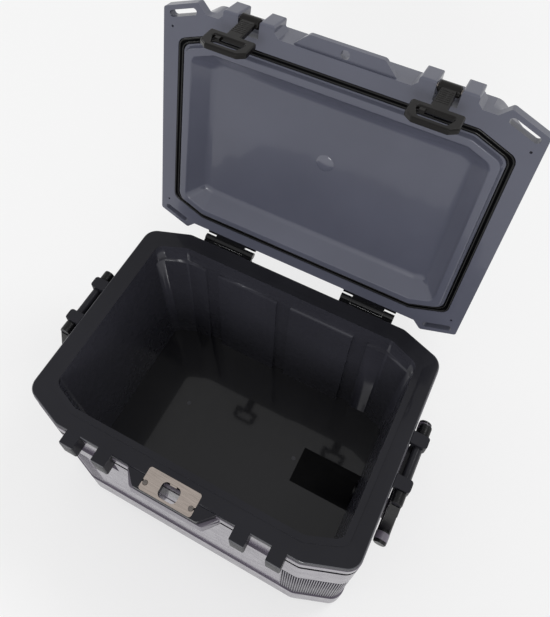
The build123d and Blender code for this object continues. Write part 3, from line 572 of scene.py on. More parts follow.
class Recipe(Tree):
    """A Geometry Nodes tree with named inputs, whose result becomes a plain mesh."""

    def __init__(self, name: str, sizes: dict[str, float], finish: Material) -> None:
        """Start a tree.

        Args:
            name: The tree's name.
            sizes: Its sizes by name, each of which becomes an input.
            finish: The material that the result gets.
        """
        super().__init__(bpy.data.node_groups.new(name, "GeometryNodeTree"))
        sockets = self.tree.interface
        sockets.new_socket("Geometry", in_out="OUTPUT", socket_type="NodeSocketGeometry")
        sockets.new_socket("Geometry", in_out="INPUT", socket_type="NodeSocketGeometry")
        self.values: dict[str, object] = {}
        for label, value in sizes.items():
            socket = sockets.new_socket(label, in_out="INPUT", socket_type="NodeSocketFloat")
            self.values[socket.identifier] = value
        socket = sockets.new_socket("Finish", in_out="INPUT", socket_type="NodeSocketMaterial")
        self.values[socket.identifier] = finish
        self.given = self.tree.nodes.new("NodeGroupInput")

    def size(self, label: str) -> NodeSocket:
        """Return the socket of a named input."""
        return self.given.outputs[label]

    def vector(self, x: object, y: object, z: object) -> NodeSocket:
        """Combine three values or sockets into a vector."""
        return self.add("ShaderNodeCombineXYZ", {"X": x, "Y": y, "Z": z}).outputs["Vector"]

    def rod(self, sides: int, radius: object, length: object) -> NodeSocket:
        """Add an upright rod around the origin and return its mesh."""
        inputs = {"Vertices": sides, "Radius": radius, "Depth": length}
        return self.add("GeometryNodeMeshCylinder", inputs).outputs["Mesh"]

    def unit_rod(self, sides: int) -> NodeSocket:
        """Add an upright rod, 1 wide and 1 long, to be sized later."""
        return self.rod(sides, 0.5, 1.0)

    def transform(self, geometry: NodeSocket, **changes: NodeSocket) -> NodeSocket:
        """Move, turn or size a geometry by vectors called Translation, Rotation and Scale."""
        return self.add("GeometryNodeTransform", {"Geometry": geometry, **changes}).outputs["Geometry"]

    def join(self, *parts: NodeSocket) -> NodeSocket:
        """Join several geometries.

        Args:
            *parts: The geometries.

        Returns:
            The joined one.
        """
        node = self.add("GeometryNodeJoinGeometry")
        for part in parts:
            self.feed(node, {"Geometry": part})
        return node.outputs["Geometry"]

    def upright_route(self) -> NodeSocket:
        """Return the seed's edges as a curve along which a section stands upright."""
        curve = self.add("GeometryNodeMeshToCurve", {"Mesh": self.size("Geometry")}).outputs["Curve"]
        return self.add("GeometryNodeSetCurveNormal", {"Curve": curve}, mode="Z_UP").outputs["Curve"]

    def sweep(self, route: NodeSocket, section: Section, sizes: Inputs, caps: bool = False) -> NodeSocket:
        """Draw a section along a curve.

        Args:
            route: The curve.
            section: The kind of section.
            sizes: Its sizes, named as that section's inputs are.
            caps: Whether its ends are closed.

        Returns:
            The swept mesh.
        """
        profile = self.add(section.value, sizes).outputs["Curve"]
        inputs = {"Curve": route, "Profile Curve": profile, "Fill Caps": caps}
        return self.add("GeometryNodeCurveToMesh", inputs).outputs["Mesh"]

    def close(self, geometry: NodeSocket) -> None:
        """End the tree with real geometry in the given finish.

        Args:
            geometry: The result, which may hold instances.
        """
        real = self.add("GeometryNodeRealizeInstances", {"Geometry": geometry}).outputs["Geometry"]
        dressed = self.add("GeometryNodeSetMaterial", {"Geometry": real, "Material": self.size("Finish")})
        self.add("NodeGroupOutput", {"Geometry": dressed.outputs["Geometry"]})

    def close_on_points(self, geometry: NodeSocket) -> None:
        """End the tree with one copy of a geometry on each point of the seed.

        Args:
            geometry: What stands on each point.
        """
        points = self.add("GeometryNodeMeshToPoints", {"Mesh": self.size("Geometry")}).outputs["Points"]
        copies = self.add("GeometryNodeInstanceOnPoints", {"Points": points, "Instance": geometry})
        self.close(copies.outputs["Instances"])

    def run(self, name: str, seed: Mesh) -> Mesh:
        """Run the tree on a seed mesh.

        Args:
            name: The name of the new mesh.
            seed: The mesh that the tree starts from.

        Returns:
            The result as a plain mesh.
        """
        carrier = bpy.data.objects.new(name + "_seed", seed)
        bpy.context.scene.collection.objects.link(carrier)
        modifier = carrier.modifiers.new("recipe", "NODES")
        modifier.node_group = self.tree
        for identifier, value in self.values.items():
            modifier[identifier] = value
        return plain_mesh(carrier, name)


def path_mesh(name: str, points: list[Vector], closed: bool = True) -> Mesh:
    """Return a mesh of edges through the points, closed to a ring or open."""
    edges = [(step, (step + 1) % len(points)) for step in range(len(points))]
    return mesh_of(name, points, edges if closed else edges[:-1])


def ring_faces(rings: int, sides: int, first: int = 0) -> list[tuple[int, int, int, int]]:
    """List the faces between rings of points that follow one another in a mesh.

    Args:
        rings: How many rings there are.
        sides: How many points each ring has.
        first: The number of the first ring's first point.

    Returns:
        The corners of each face.
    """
    faces = []
    for ring in range(rings - 1):
        for step in range(sides):
            low = first + ring * sides + step
            beside = first + ring * sides + (step + 1) % sides
            faces.append((low, beside, beside + sides, low + sides))
    return faces


def rounded_corner(before: Vector, corner: Vector, after: Vector, radius: float,
                   steps: int = 8) -> list[Vector]:
    """Return the points of the arc that rounds one corner of a path.

    Args:
        before: The corner before this one.
        corner: The corner to round.
        after: The corner after this one.
        radius: The radius of the arc.
        steps: How many pieces the arc has.

    Returns:
        The points from the arc's start to its end.
    """
    back = (before - corner).normalized()
    onward = (after - corner).normalized()
    half_angle = back.angle(onward) / 2
    reach = radius / math.tan(half_angle)
    centre = corner + (back + onward).normalized() * (radius / math.sin(half_angle))
    start = corner + back * reach - centre
    end = corner + onward * reach - centre
    return [centre + start.slerp(end, step / steps).normalized() * radius for step in range(steps + 1)]


@dataclass(frozen=True)
class CutRectangle:
    """A rectangle with cut and rounded corners, as the outlines of the tub and its mouth are."""

    half_x: float
    half_y: float
    cut_x: float
    cut_y: float
    radius: float
    back: float = 0.0
    arc_share: float = 0.4

    def corners(self, grow: float = 0.0) -> list[Vector]:
        """List the eight corners before rounding, counter-clockwise from the front right.

        Args:
            grow: How far every side moves out.

        Returns:
            The corners at height 0.
        """
        spare = self.cut_x + self.cut_y - math.hypot(self.cut_x, self.cut_y)
        cut_x = self.cut_x + grow * spare / self.cut_y
        cut_y = self.cut_y + grow * spare / self.cut_x
        wide = self.half_x + grow
        deep = self.half_y + grow
        right = [(wide - cut_x, -deep), (wide, cut_y - deep), (wide, deep - cut_y), (wide - cut_x, deep)]
        return [Vector((x, y + self.back, 0.0)) for x, y in right + [(-x, -y) for x, y in right]]

    def path(self, grow: float = 0.0) -> list[Vector]:
        """List the points of the whole rounded outline.

        Args:
            grow: How far every side moves out.

        Returns:
            The points, in which no arc takes more than its share of a side.
        """
        corners = self.corners(grow)
        points: list[Vector] = []
        for index, corner in enumerate(corners):
            before, after = corners[index - 1], corners[(index + 1) % len(corners)]
            room = self.arc_share * min((before - corner).length, (after - corner).length)
            half_angle = (before - corner).angle(after - corner) / 2
            points += rounded_corner(before, corner, after, min(self.radius, room * math.tan(half_angle)))
        return points


BODY = CutRectangle(half_x=229.5 * MM, half_y=162.6 * MM, cut_x=60.6 * MM, cut_y=21.6 * MM,
                    radius=20.0 * MM)
MOUTH = CutRectangle(half_x=201.6 * MM, half_y=136.4 * MM, cut_x=41.1 * MM, cut_y=16.5 * MM,
                     radius=13.0 * MM, back=1.7 * MM)
HINGE = Vector((0.0, 172.9 * MM, 280.7 * MM))
LID_Z = 286.5 * MM
OPEN_ANGLE = -103.4
OPEN = (Matrix.Translation(HINGE) @ Matrix.Rotation(math.radians(OPEN_ANGLE), 4, "X")
        @ Matrix.Translation(-HINGE))


@dataclass(frozen=True)
class Moulding:
    """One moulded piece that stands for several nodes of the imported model, with its edges rounded."""

    name: str
    body: str
    nodes: tuple[str, ...]
    rounding: float
    segments: int = 3
    corner: float = 30.0
    reshape: Callable[[Vector], Vector] | None = None
    soft_edge: Callable[[Vector], bool] | None = None
    soft_rounding: float = 0.0
    soft_segments: int = 8
    trims: tuple[tuple[Material, Rule], ...] = ()

    def build(self, finish: Material) -> None:
        """Make the piece, which rides on its body.

        Args:
            finish: The material for all its faces but the trims.
        """
        mesh = self.unite(finish)
        if self.reshape is not None:
            for vertex in mesh.vertices:
                vertex.co = self.reshape(vertex.co)
        rough = link_object(self.name, mesh, finish)
        if self.soft_edge is not None:
            self.weigh_soft_edges(mesh)
            self.round_edges(rough, self.soft_rounding, self.soft_segments, Edges.MARKED)
        self.round_edges(rough, self.rounding, self.segments, Edges.BENT)
        mesh = plain_mesh(rough, self.name)
        merge(mesh)
        smooth(mesh, self.corner)
        piece = make_piece(self.name, mesh, finish)
        self.add_trims(mesh)
        piece.modifiers.new("even_shading", "WEIGHTED_NORMAL").keep_sharp = True
        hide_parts(*self.nodes)
        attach(piece, self.body)

    def unite(self, finish: Material) -> Mesh:
        """Unite copies of the nodes.

        Args:
            finish: The material for all faces.

        Returns:
            One mesh with sharp edges.
        """
        copies = []
        for node in self.nodes:
            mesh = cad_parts[node].data.copy()
            merge(mesh)
            copies.append(link_object(node + "_copy", mesh, finish))
        base, *others = copies
        for other in others:
            union = base.modifiers.new("union", "BOOLEAN")
            union.operation = "UNION"
            union.solver = "MANIFOLD"
            union.object = other
        mesh = plain_mesh(base, self.name)
        for other in others:
            bpy.data.objects.remove(other)
        merge(mesh, flatten=True)
        return mesh

    def weigh_soft_edges(self, mesh: Mesh) -> None:
        """Mark the edges that soft_edge picks.

        Args:
            mesh: The mesh to mark.
        """
        weights = mesh.attributes.new("bevel_weight_edge", "FLOAT", "EDGE")
        for edge in mesh.edges:
            soft = all(self.soft_edge(mesh.vertices[index].co) for index in edge.vertices)
            weights.data[edge.index].value = float(soft)

    def round_edges(self, piece: Object, width: float, segments: int, edges: Edges) -> None:
        """Add a rounding that stops where it would overlap.

        Args:
            piece: The object that gets it.
            width: How wide it is.
            segments: How many steps it has.
            edges: The marked edges, or all that bend more than the corner angle.
        """
        rounding = piece.modifiers.new("rounding", "BEVEL")
        rounding.width = width
        rounding.segments = segments
        rounding.limit_method = edges.value
        rounding.angle_limit = math.radians(self.corner)
        rounding.use_clamp_overlap = True

    def add_trims(self, mesh: Mesh) -> None:
        """Give the faces that a trim's rule picks that trim's finish.

        Args:
            mesh: The finished mesh.
        """
        for slot, (finish, picks) in enumerate(self.trims, start=1):
            mesh.materials.append(finish)
            for face in mesh.polygons:
                if picks([mesh.vertices[index].co for index in face.vertices], face.normal):
                    face.material_index = slot


@dataclass
class Assembly(ABC):
    """A sub-assembly of the cooler or of its stage."""

    finishes: Finishes

    @abstractmethod
    def build(self) -> None:
        """Make and dress all its pieces."""


@dataclass
class Tub(Assembly):
    """The tub with its shell, liner, rim, feet and drain.

    A rise is the Z of a face's normal, which is 1 where the face looks straight up.
    """

    bead_foot: float = 260.0 * MM
    bead_half: tuple[float, float] = (231.9 * MM, 165.0 * MM)
    bead_trim: float = 1.6 * MM
    gap_foot: float = 256.0 * MM
    gap_drop: float = 2.5 * MM
    gap_margin: float = 0.9 * MM
    level_slack: float = 0.1 * MM
    floor_level: float = 44.0 * MM
    floor_slack: float = 0.5 * MM
    floor_rise: float = 0.9
    sump_level: float = 38.0 * MM
    sump_slack: float = 0.4 * MM
    sump_lip: float = 0.6 * MM
    sump_start: float = 60.0 * MM
    flange_foot: float = 272.0 * MM
    flange_rise: float = 0.94
    edge_rise: float = 0.3

    def in_gap(self, corners: list[Vector], normal: Vector) -> bool:
        """Tell whether a face of the shell lies in the gap below the bead, which is coloured dark as painted
        shade.
        """
        low = self.gap_foot - self.gap_drop - self.gap_margin
        return all(low < corner.z < self.bead_foot + self.gap_margin for corner in corners)

    def on_flange(self, corners: list[Vector], normal: Vector) -> bool:
        """Tell whether a face of the liner belongs to the flange around the mouth."""
        return all(corner.z > self.flange_foot for corner in corners) and normal.z > self.flange_rise

    def on_edge(self, corners: list[Vector], normal: Vector) -> bool:
        """Tell whether a face rounds one of the upper edges of the rim or the flange, which get a lighter
        tone as painted highlight.
        """
        high = all(corner.z > self.flange_foot for corner in corners)
        return high and self.edge_rise < normal.z <= self.flange_rise

    def on_floor(self, corners: list[Vector], normal: Vector) -> bool:
        """Tell whether a face of the liner belongs to its floor, which gets a darker tone than the walls as
        painted shade.
        """
        level = all(abs(corner.z - self.floor_level) < self.floor_slack for corner in corners)
        return level and normal.z > self.floor_rise

    def in_sump(self, corners: list[Vector], normal: Vector) -> bool:
        """Tell whether a face of the liner slopes down into the sump of its floor, which is coloured near
        black as painted shade.

        Args:
            corners: The face's corners.
            normal: Its normal, which doesn't matter here.

        Returns:
            Whether it does.
        """
        level = sum(corner.z for corner in corners) / len(corners)
        sloped = self.sump_level + self.sump_slack < level < self.floor_level - self.sump_slack
        top = self.floor_level + self.sump_lip
        return sloped and all(corner.z < top and corner.x > self.sump_start for corner in corners)

    def slim_bead(self, place: Vector) -> Vector:
        """Draw the bead in and open the gap below it, so that the gap shows from above.

        Args:
            place: A point of the shell.

        Returns:
            Where the point goes.
        """
        if place.z > self.bead_foot - self.level_slack:
            across, along = (1.0 - self.bead_trim / half for half in self.bead_half)
            return Vector((place.x * across, place.y * along, place.z))
        if abs(place.z - self.gap_foot) < self.level_slack:
            return Vector((place.x, place.y, place.z - self.gap_drop))
        return place

    def build(self) -> None:
        """Dress the tub's nodes and make its mouldings."""
        looks = self.finishes
        dress(looks.shell, "outer_shell", "corner_panels")
        dress(looks.liner, "inner_liner")
        dress(looks.rim, "top_rim", "latch_keepers", "rim_lock_tab", "handle_ears")
        dress(looks.foam, "insulation_foam")
        dress(looks.seal, "rubber_feet", "drain_gasket", "drain_plug_seal")
        dress(looks.plate, "lock_plate")
        dress(looks.bolt, "plate_screws", "hinge_pins", "hinge_body_screws")
        dress(looks.hardware, "drain_fitting", "drain_nut", "drain_plug", "hinge_body_leaves")
        # The rim's upper edges get the lighter edge tone, a painted highlight.
        Moulding("rim_moulding", "tub", ("top_rim", "latch_keepers", "rim_lock_tab", "handle_ears"),
                 rounding=1.0 * MM, trims=((looks.edge_highlight, self.on_edge),)).build(looks.rim)
        # The faces in the gap below the bead get the dark gap finish, painted shade.
        Moulding("shell_moulding", "tub", ("outer_shell",), rounding=0.7 * MM, reshape=self.slim_bead,
                 trims=((looks.gap, self.in_gap),)).build(looks.shell)
        # On the liner the flange takes the rim's colour; the upper edges get a painted highlight, the floor
        # and the sump painted shade.
        Moulding("liner_moulding", "tub", ("inner_liner",), rounding=1.6 * MM,
                 trims=((looks.rim, self.on_flange), (looks.edge_highlight, self.on_edge),
                        (looks.shaded_floor, self.on_floor), (looks.sump, self.in_sump))).build(looks.liner)
        Moulding("plate_pressing", "tub", ("lock_plate",), rounding=0.2 * MM, segments=2).build(looks.plate)


@dataclass
class Lid(Assembly):
    """The lid with its tray, loops, bosses and hinge leaves."""

    plug_level: float = 280.5 * MM
    plug_rounding: float = 2.6 * MM
    level_slack: float = 0.2 * MM
    skin: float = 0.35 * MM
    pan_level: float = 302.5 * MM
    pan_edge: float = 13.0 * MM
    pan_start: float = 2.2 * MM
    pan_slope: float = 22.0 * MM
    pan_fillet: float = 15.0 * MM
    pan_border: float = 3.0 * MM
    fillet_steps: int = 10
    dome_forward: float = 16.0 * MM
    dome_radius: float = 12.2 * MM
    dome_height: float = 2.4 * MM
    dome_cover: float = 1.0 * MM
    dome_rings: int = 8
    dome_sides: int = 40

    def at_plug_edge(self, place: Vector) -> bool:
        """Tell whether a point of the open lid lies on the lower edges of the plug around the pan."""
        shut = OPEN.inverted() @ place
        return abs(shut.z - self.plug_level) < self.level_slack

    def pan_profile(self) -> list[tuple[float, float]]:
        """Work out the pan's section, from its edge to its floor.

        Returns:
            The growth of the mouth's outline and the height at each step of the section.
        """
        start = (-self.pan_edge - self.pan_start, self.plug_level + self.pan_start - self.skin)
        foot = (-self.pan_edge - self.pan_slope, self.pan_level - self.skin)
        slope = math.atan2(foot[1] - start[1], start[0] - foot[0])
        centre = (foot[0] - self.pan_fillet * math.tan(slope / 2), foot[1] - self.pan_fillet)
        turns = [slope * (1 - step / self.fillet_steps) for step in range(self.fillet_steps + 1)]
        arc = [(centre[0] + self.pan_fillet * math.sin(turn), centre[1] + self.pan_fillet * math.cos(turn))
               for turn in turns]
        return [start, *arc, (arc[-1][0] - self.pan_border, arc[-1][1])]

    def build_pan(self) -> None:
        """Line the pan with one smooth skin, whose wall runs into its floor in a wide fillet."""
        profile = self.pan_profile()
        rings = [MOUTH.path(grow) for grow, _ in profile]
        points = [(point.x, point.y, level) for ring, (_, level) in zip(rings, profile) for point in ring]
        dome = Vector((0.0, -self.dome_forward, 0.0))
        hole = self.dome_radius - self.dome_cover
        for point in rings[-1]:
            edge = dome + (point - dome).normalized() * hole
            points.append((edge.x, edge.y, self.pan_level - self.skin))
        mesh = mesh_of("pan_skin", points, faces=ring_faces(len(rings) + 1, len(rings[-1])))
        # The rings run inwards, so their faces look into the lid until they are flipped.
        mesh.flip_normals()
        mesh.transform(OPEN)
        mesh.shade_smooth()
        piece = make_piece("lid_pan_skin", mesh, self.finishes.lid)
        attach(piece, "lid")

    def build_dome(self) -> None:
        """Make the round plug in the pan's middle as a low dome that hangs from its floor."""
        points = [(0.0, -self.dome_forward, self.pan_level - self.dome_height)]
        for ring in range(1, self.dome_rings + 1):
            turn = math.pi / 2 * ring / self.dome_rings
            radius = self.dome_radius * math.sin(turn)
            level = self.pan_level - self.dome_height * math.cos(turn)
            for step in range(self.dome_sides):
                around = math.tau * step / self.dome_sides
                back = radius * math.sin(around) - self.dome_forward
                points.append((radius * math.cos(around), back, level))
        sides = self.dome_sides
        faces: list[Sequence[int]] = [(0, 1 + (step + 1) % sides, 1 + step) for step in range(sides)]
        faces += ring_faces(self.dome_rings, sides, first=1)
        faces.append(tuple(range(len(points) - sides, len(points))))
        mesh = mesh_of("foam_plug_dome", points, faces=faces)
        mesh.transform(OPEN)
        smooth(mesh, sharp=60.0)
        piece = make_piece("foam_plug_dome", mesh, self.finishes.dome)
        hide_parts("foam_plug")
        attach(piece, "lid")

    def build(self) -> None:
        """Dress the lid's nodes and make its mouldings, the pan's skin and the dome."""
        looks = self.finishes
        dress(looks.lid, "lid_shell", "lid_tray", "foam_plug", "tie_down_loops", "latch_bosses",
              "lid_lock_tab")
        dress(looks.foam, "lid_foam")
        dress(looks.seal, "lid_gasket")
        dress(looks.hardware, "hinge_lid_leaves")
        dress(looks.bolt, "hinge_lid_screws")
        Moulding("lid_moulding", "lid", ("lid_tray", "lid_shell", "tie_down_loops", "lid_lock_tab"),
                 rounding=1.4 * MM, soft_edge=self.at_plug_edge,
                 soft_rounding=self.plug_rounding).build(looks.lid)
        Moulding("boss_mouldings", "lid", ("latch_bosses",), rounding=1.2 * MM).build(looks.lid)
        self.build_pan()
        self.build_dome()
        Moulding("hinge_lid_mouldings", "lid", ("hinge_lid_leaves",), rounding=0.4 * MM,
                 segments=2).build(looks.hardware)


@dataclass
class Latches(Assembly):
    """The two rubber latches and their pins."""

    def build(self) -> None:
        """Dress the latches' nodes and make their mouldings."""
        looks = self.finishes
        for side in Side:
            node = "latch_" + side.word
            dress(looks.latch, node)
            Moulding("latch_moulding_" + side.word, node, (node,), rounding=1.1 * MM).build(looks.latch)
        dress(looks.bolt, "latch_pins")


@dataclass
class Handles(Assembly):
    """The two carrying handles, the rings on their barrels and the webs between their ears."""

    pivot_x: float = 241.0 * MM
    pivot_z: float = 275.0 * MM
    barrel_start: float = 37.8 * MM
    barrel_radius: float = 7.3 * MM
    barrel_sides: int = 36
    ring_radius: float = 0.5 * MM
    ring_sides: int = 6
    ring_pitch: float = 1.7 * MM
    ring_count: int = 8
    first_ring: float = 0.8
    web_start: float = 228.5 * MM
    web_end: float = 243.0 * MM
    web_half: float = 22.0 * MM
    web_level: float = 266.6 * MM
    web_thickness: float = 2.6 * MM

    def build(self) -> None:
        """Dress the handles' nodes and make their mouldings, rings and webs."""
        looks = self.finishes
        for side in Side:
            word = side.word
            dress(looks.hardware, "handle_arms_" + word, "grip_caps_" + word)
            dress(looks.rim, "handle_pivot_" + word, "grip_sleeve_" + word)
            dress(looks.bolt, "grip_rod_" + word)
            dress(looks.shell, "grip_collars_" + word)
            Moulding("handle_mouldings_" + word, "handle_" + word, ("handle_arms_" + word,),
                     rounding=0.8 * MM).build(looks.hardware)
            self.build_rings(side)
            self.build_ear_web(side)

    def ring_recipe(self) -> Recipe:
        """Build the tree that puts a fine upright ring on every point.

        Returns:
            The tree.
        """
        recipe = Recipe("barrel_rings", {"Barrel Radius": self.barrel_radius,
                                         "Ring Radius": self.ring_radius}, self.finishes.hardware)
        circle = recipe.add(Section.ROUND.value, {
            "Resolution": self.barrel_sides, "Radius": recipe.size("Barrel Radius")}).outputs["Curve"]
        ring = recipe.sweep(circle, Section.ROUND, {
            "Resolution": self.ring_sides, "Radius": recipe.size("Ring Radius")})
        recipe.close_on_points(recipe.transform(ring, Rotation=recipe.vector(math.pi / 2, 0.0, 0.0)))
        return recipe

    def build_rings(self, side: Side) -> None:
        """Cover the barrels at both ends of one pivot with fine rings.

        Args:
            side: The handle's side.
        """
        name = "handle_rings_" + side.word
        reaches = [self.barrel_start + self.ring_pitch * (step + self.first_ring)
                   for step in range(self.ring_count)]
        across = side.value * self.pivot_x
        spots = [(across, end * reach, self.pivot_z) for end in (-1, 1) for reach in reaches]
        mesh = self.ring_recipe().run(name, mesh_of("ring_spots_" + side.word, spots))
        piece = make_piece(name, mesh, self.finishes.hardware)
        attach(piece, "handle_" + side.word)

    def build_ear_web(self, side: Side) -> None:
        """Close the slot below one pivot, between its two ears.

        Args:
            side: The handle's side.
        """
        name = "ear_web_" + side.word
        middle = (side.value * (self.web_start + self.web_end) / 2, 0.0, self.web_level)
        size = (self.web_end - self.web_start, 2 * self.web_half, self.web_thickness)
        piece = make_piece(name, box_mesh(name, middle, size), self.finishes.rim)
        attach(piece, "tub")


@dataclass
class RibPanels(Assembly):
    """The four corner panels, each upright half-round ribs along the shell's outline on a dark strip that
    paints shade between them.
    """

    low: float = 55.0 * MM
    high: float = 181.0 * MM
    pitch: float = 3.05 * MM
    width: float = 1.9 * MM
    proud: float = 1.5 * MM
    rib_sides: int = 12
    inset: float = 0.6 * MM
    margin: float = 1.8 * MM
    shade_strip_depth: float = 2.0 * MM
    front_reach: float = 20.0 * MM
    side_reach: float = 22.0 * MM

    def corner_path(self) -> list[Vector]:
        """Draw the path of the front right panel.

        Returns:
            Its points, from the front to the side.
        """
        first, second, *_ = BODY.corners(-self.inset)
        start = first - Vector((self.front_reach, 0.0, 0.0))
        end = second + Vector((0.0, self.side_reach, 0.0))
        return [start, *rounded_corner(start, first, second, BODY.radius),
                *rounded_corner(first, second, end, BODY.radius), end]

    def rib_recipe(self) -> Recipe:
        """Build the tree that stands ribs along a path.

        Returns:
            The tree.
        """
        recipe = Recipe("corner_ribs", {"Pitch": self.pitch, "Rib Width": self.width, "Rib Proud": self.proud,
                                        "Height": self.high - self.low}, self.finishes.ribs)
        even = recipe.add("GeometryNodeResampleCurve", {
            "Curve": recipe.upright_route(), "Length": recipe.size("Pitch")}, mode="LENGTH")
        tangent = recipe.add("GeometryNodeInputTangent").outputs["Tangent"]
        turn = recipe.add("FunctionNodeAlignRotationToVector", {"Vector": tangent}, axis="X", pivot_axis="Z")
        rod = recipe.unit_rod(self.rib_sides)
        depth = recipe.reckon("MULTIPLY", recipe.size("Rib Proud"), 2.0)
        ribs = recipe.add("GeometryNodeInstanceOnPoints", {
            "Points": even.outputs["Curve"], "Instance": rod,
            "Rotation": turn.outputs["Rotation"],
            "Scale": recipe.vector(recipe.size("Rib Width"), depth, recipe.size("Height"))})
        recipe.close(ribs.outputs["Instances"])
        return recipe

    def shade_strip_recipe(self) -> Recipe:
        """Build the tree that draws the strip behind the ribs, dark as painted shade between them.

        Returns:
            The tree.
        """
        recipe = Recipe("corner_backing", {"Strip Height": self.high - self.low + 2 * self.margin,
                                           "Strip Depth": self.shade_strip_depth}, self.finishes.gap)
        recipe.close(recipe.sweep(recipe.upright_route(), Section.BOX, {
            "Width": recipe.size("Strip Depth"), "Height": recipe.size("Strip Height")}, caps=True))
        return recipe

    def at_all_corners(self, panel: Mesh, name: str) -> Mesh:
        """Repeat the front right panel at the other corners.

        Args:
            panel: The panel, around height 0.
            name: The name of the new mesh.

        Returns:
            One mesh with all four panels.
        """
        panel.transform(Matrix.Translation((0.0, 0.0, (self.low + self.high) / 2)))
        shape = bmesh.new()
        for flip_x in (1, -1):
            for flip_y in (1, -1):
                copy = panel.copy()
                copy.transform(Matrix.Diagonal((flip_x, flip_y, 1.0, 1.0)))
                if flip_x * flip_y < 0:
                    copy.flip_normals()
                shape.from_mesh(copy)
        return mesh_from(name, shape)

    def build(self) -> None:
        """Make the ribs of all four panels as one piece and the strips behind them, dark as painted shade, as
        another.
        """
        path = path_mesh("corner_path", self.corner_path(), closed=False)
        ribs = self.at_all_corners(self.rib_recipe().run("corner_ribs", path.copy()), "corner_ribs_all")
        piece = make_piece("corner_rib_panels", ribs, self.finishes.ribs)
        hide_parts("corner_panels")
        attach(piece, "tub")
        # The strips' dark finish is painted shade between the ribs.
        strips = self.at_all_corners(self.shade_strip_recipe().run("corner_backing", path), "corner_backings_all")
        shade_strip = make_piece("corner_backings", strips, self.finishes.gap)
        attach(shade_strip, "tub")


@dataclass
class Screws(Assembly):
    """The cross-head screws of the lock plate and of the hinges."""

    head_radius: float = 3.4 * MM
    head_height: float = 1.1 * MM
    head_taper: float = 0.82
    head_sides: int = 32
    shank_radius: float = 1.6 * MM
    shank_length: float = 8.0 * MM
    shank_sides: int = 16
    slot_width: float = 0.9 * MM
    slot_share: float = 1.15
    plate_reach: float = 31.5 * MM
    plate_place: Point = (0.0, -170.0 * MM, 285.4 * MM)
    hinge_reaches: tuple[float, ...] = (-135.2 * MM, -84.2 * MM, 84.2 * MM, 135.2 * MM)
    body_leaf_place: Point = (0.0, 168.6 * MM, 256.7 * MM)
    lid_leaf_place: Point = (0.0, 168.6 * MM, 304.7 * MM)

    def recipe(self) -> Recipe:
        """Build the tree that puts an upright cross-head screw on every point.

        Returns:
            The tree.
        """
        recipe = Recipe("cross_head_screws", {
            "Head Radius": self.head_radius, "Head Height": self.head_height,
            "Shank Radius": self.shank_radius, "Shank Length": self.shank_length,
            "Slot Width": self.slot_width}, self.finishes.bolt)
        radius, height = recipe.size("Head Radius"), recipe.size("Head Height")
        width, length = recipe.size("Slot Width"), recipe.size("Shank Length")
        head = recipe.add("GeometryNodeMeshCone", {
            "Vertices": self.head_sides, "Radius Top": recipe.reckon("MULTIPLY", radius, self.head_taper),
            "Radius Bottom": radius, "Depth": height})
        long = recipe.reckon("MULTIPLY", radius, self.slot_share)
        slots = [recipe.add("GeometryNodeMeshCube", {"Size": recipe.vector(x, y, height)}).outputs["Mesh"]
                 for x, y in ((long, width), (width, long))]
        cross = recipe.transform(recipe.join(*slots), Translation=recipe.vector(0.0, 0.0, height))
        cut = recipe.add("GeometryNodeMeshBoolean", {
            "Mesh 1": head.outputs["Mesh"], "Mesh 2": cross, "Self Intersection": True},
            operation="DIFFERENCE", solver="EXACT")
        shank = recipe.rod(self.shank_sides, recipe.size("Shank Radius"), length)
        down = recipe.vector(0.0, 0.0, recipe.reckon("MULTIPLY", length, -0.5))
        lower = recipe.transform(shank, Translation=down)
        recipe.close_on_points(recipe.join(cut.outputs["Mesh"], lower))
        return recipe

    def place(self, node: str, body: str, reaches: Sequence[float], seat: Matrix) -> None:
        """Make the screws of one node.

        Args:
            node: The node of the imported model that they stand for.
            body: The body that they ride on.
            reaches: Where each screw is along X.
            seat: The matrix of a frame in the middle of their seats, whose Z points out of them.
        """
        seed = mesh_of(node + "_spots", [(reach, 0.0, 0.0) for reach in reaches])
        mesh = self.recipe().run(node + "_heads", seed)
        mesh.transform(seat)
        piece = make_piece(node + "_cross", mesh, self.finishes.bolt)
        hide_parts(node)
        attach(piece, body)

    def build(self) -> None:
        """Make all screws."""
        outward = Matrix.Rotation(math.radians(-90), 4, "X")
        self.place("plate_screws", "tub", (-self.plate_reach, self.plate_reach),
                   Matrix.Translation(self.plate_place))
        self.place("hinge_body_screws", "tub", self.hinge_reaches,
                   Matrix.Translation(self.body_leaf_place) @ outward)
        self.place("hinge_lid_screws", "lid", self.hinge_reaches,
                   OPEN @ Matrix.Translation(self.lid_leaf_place) @ outward)


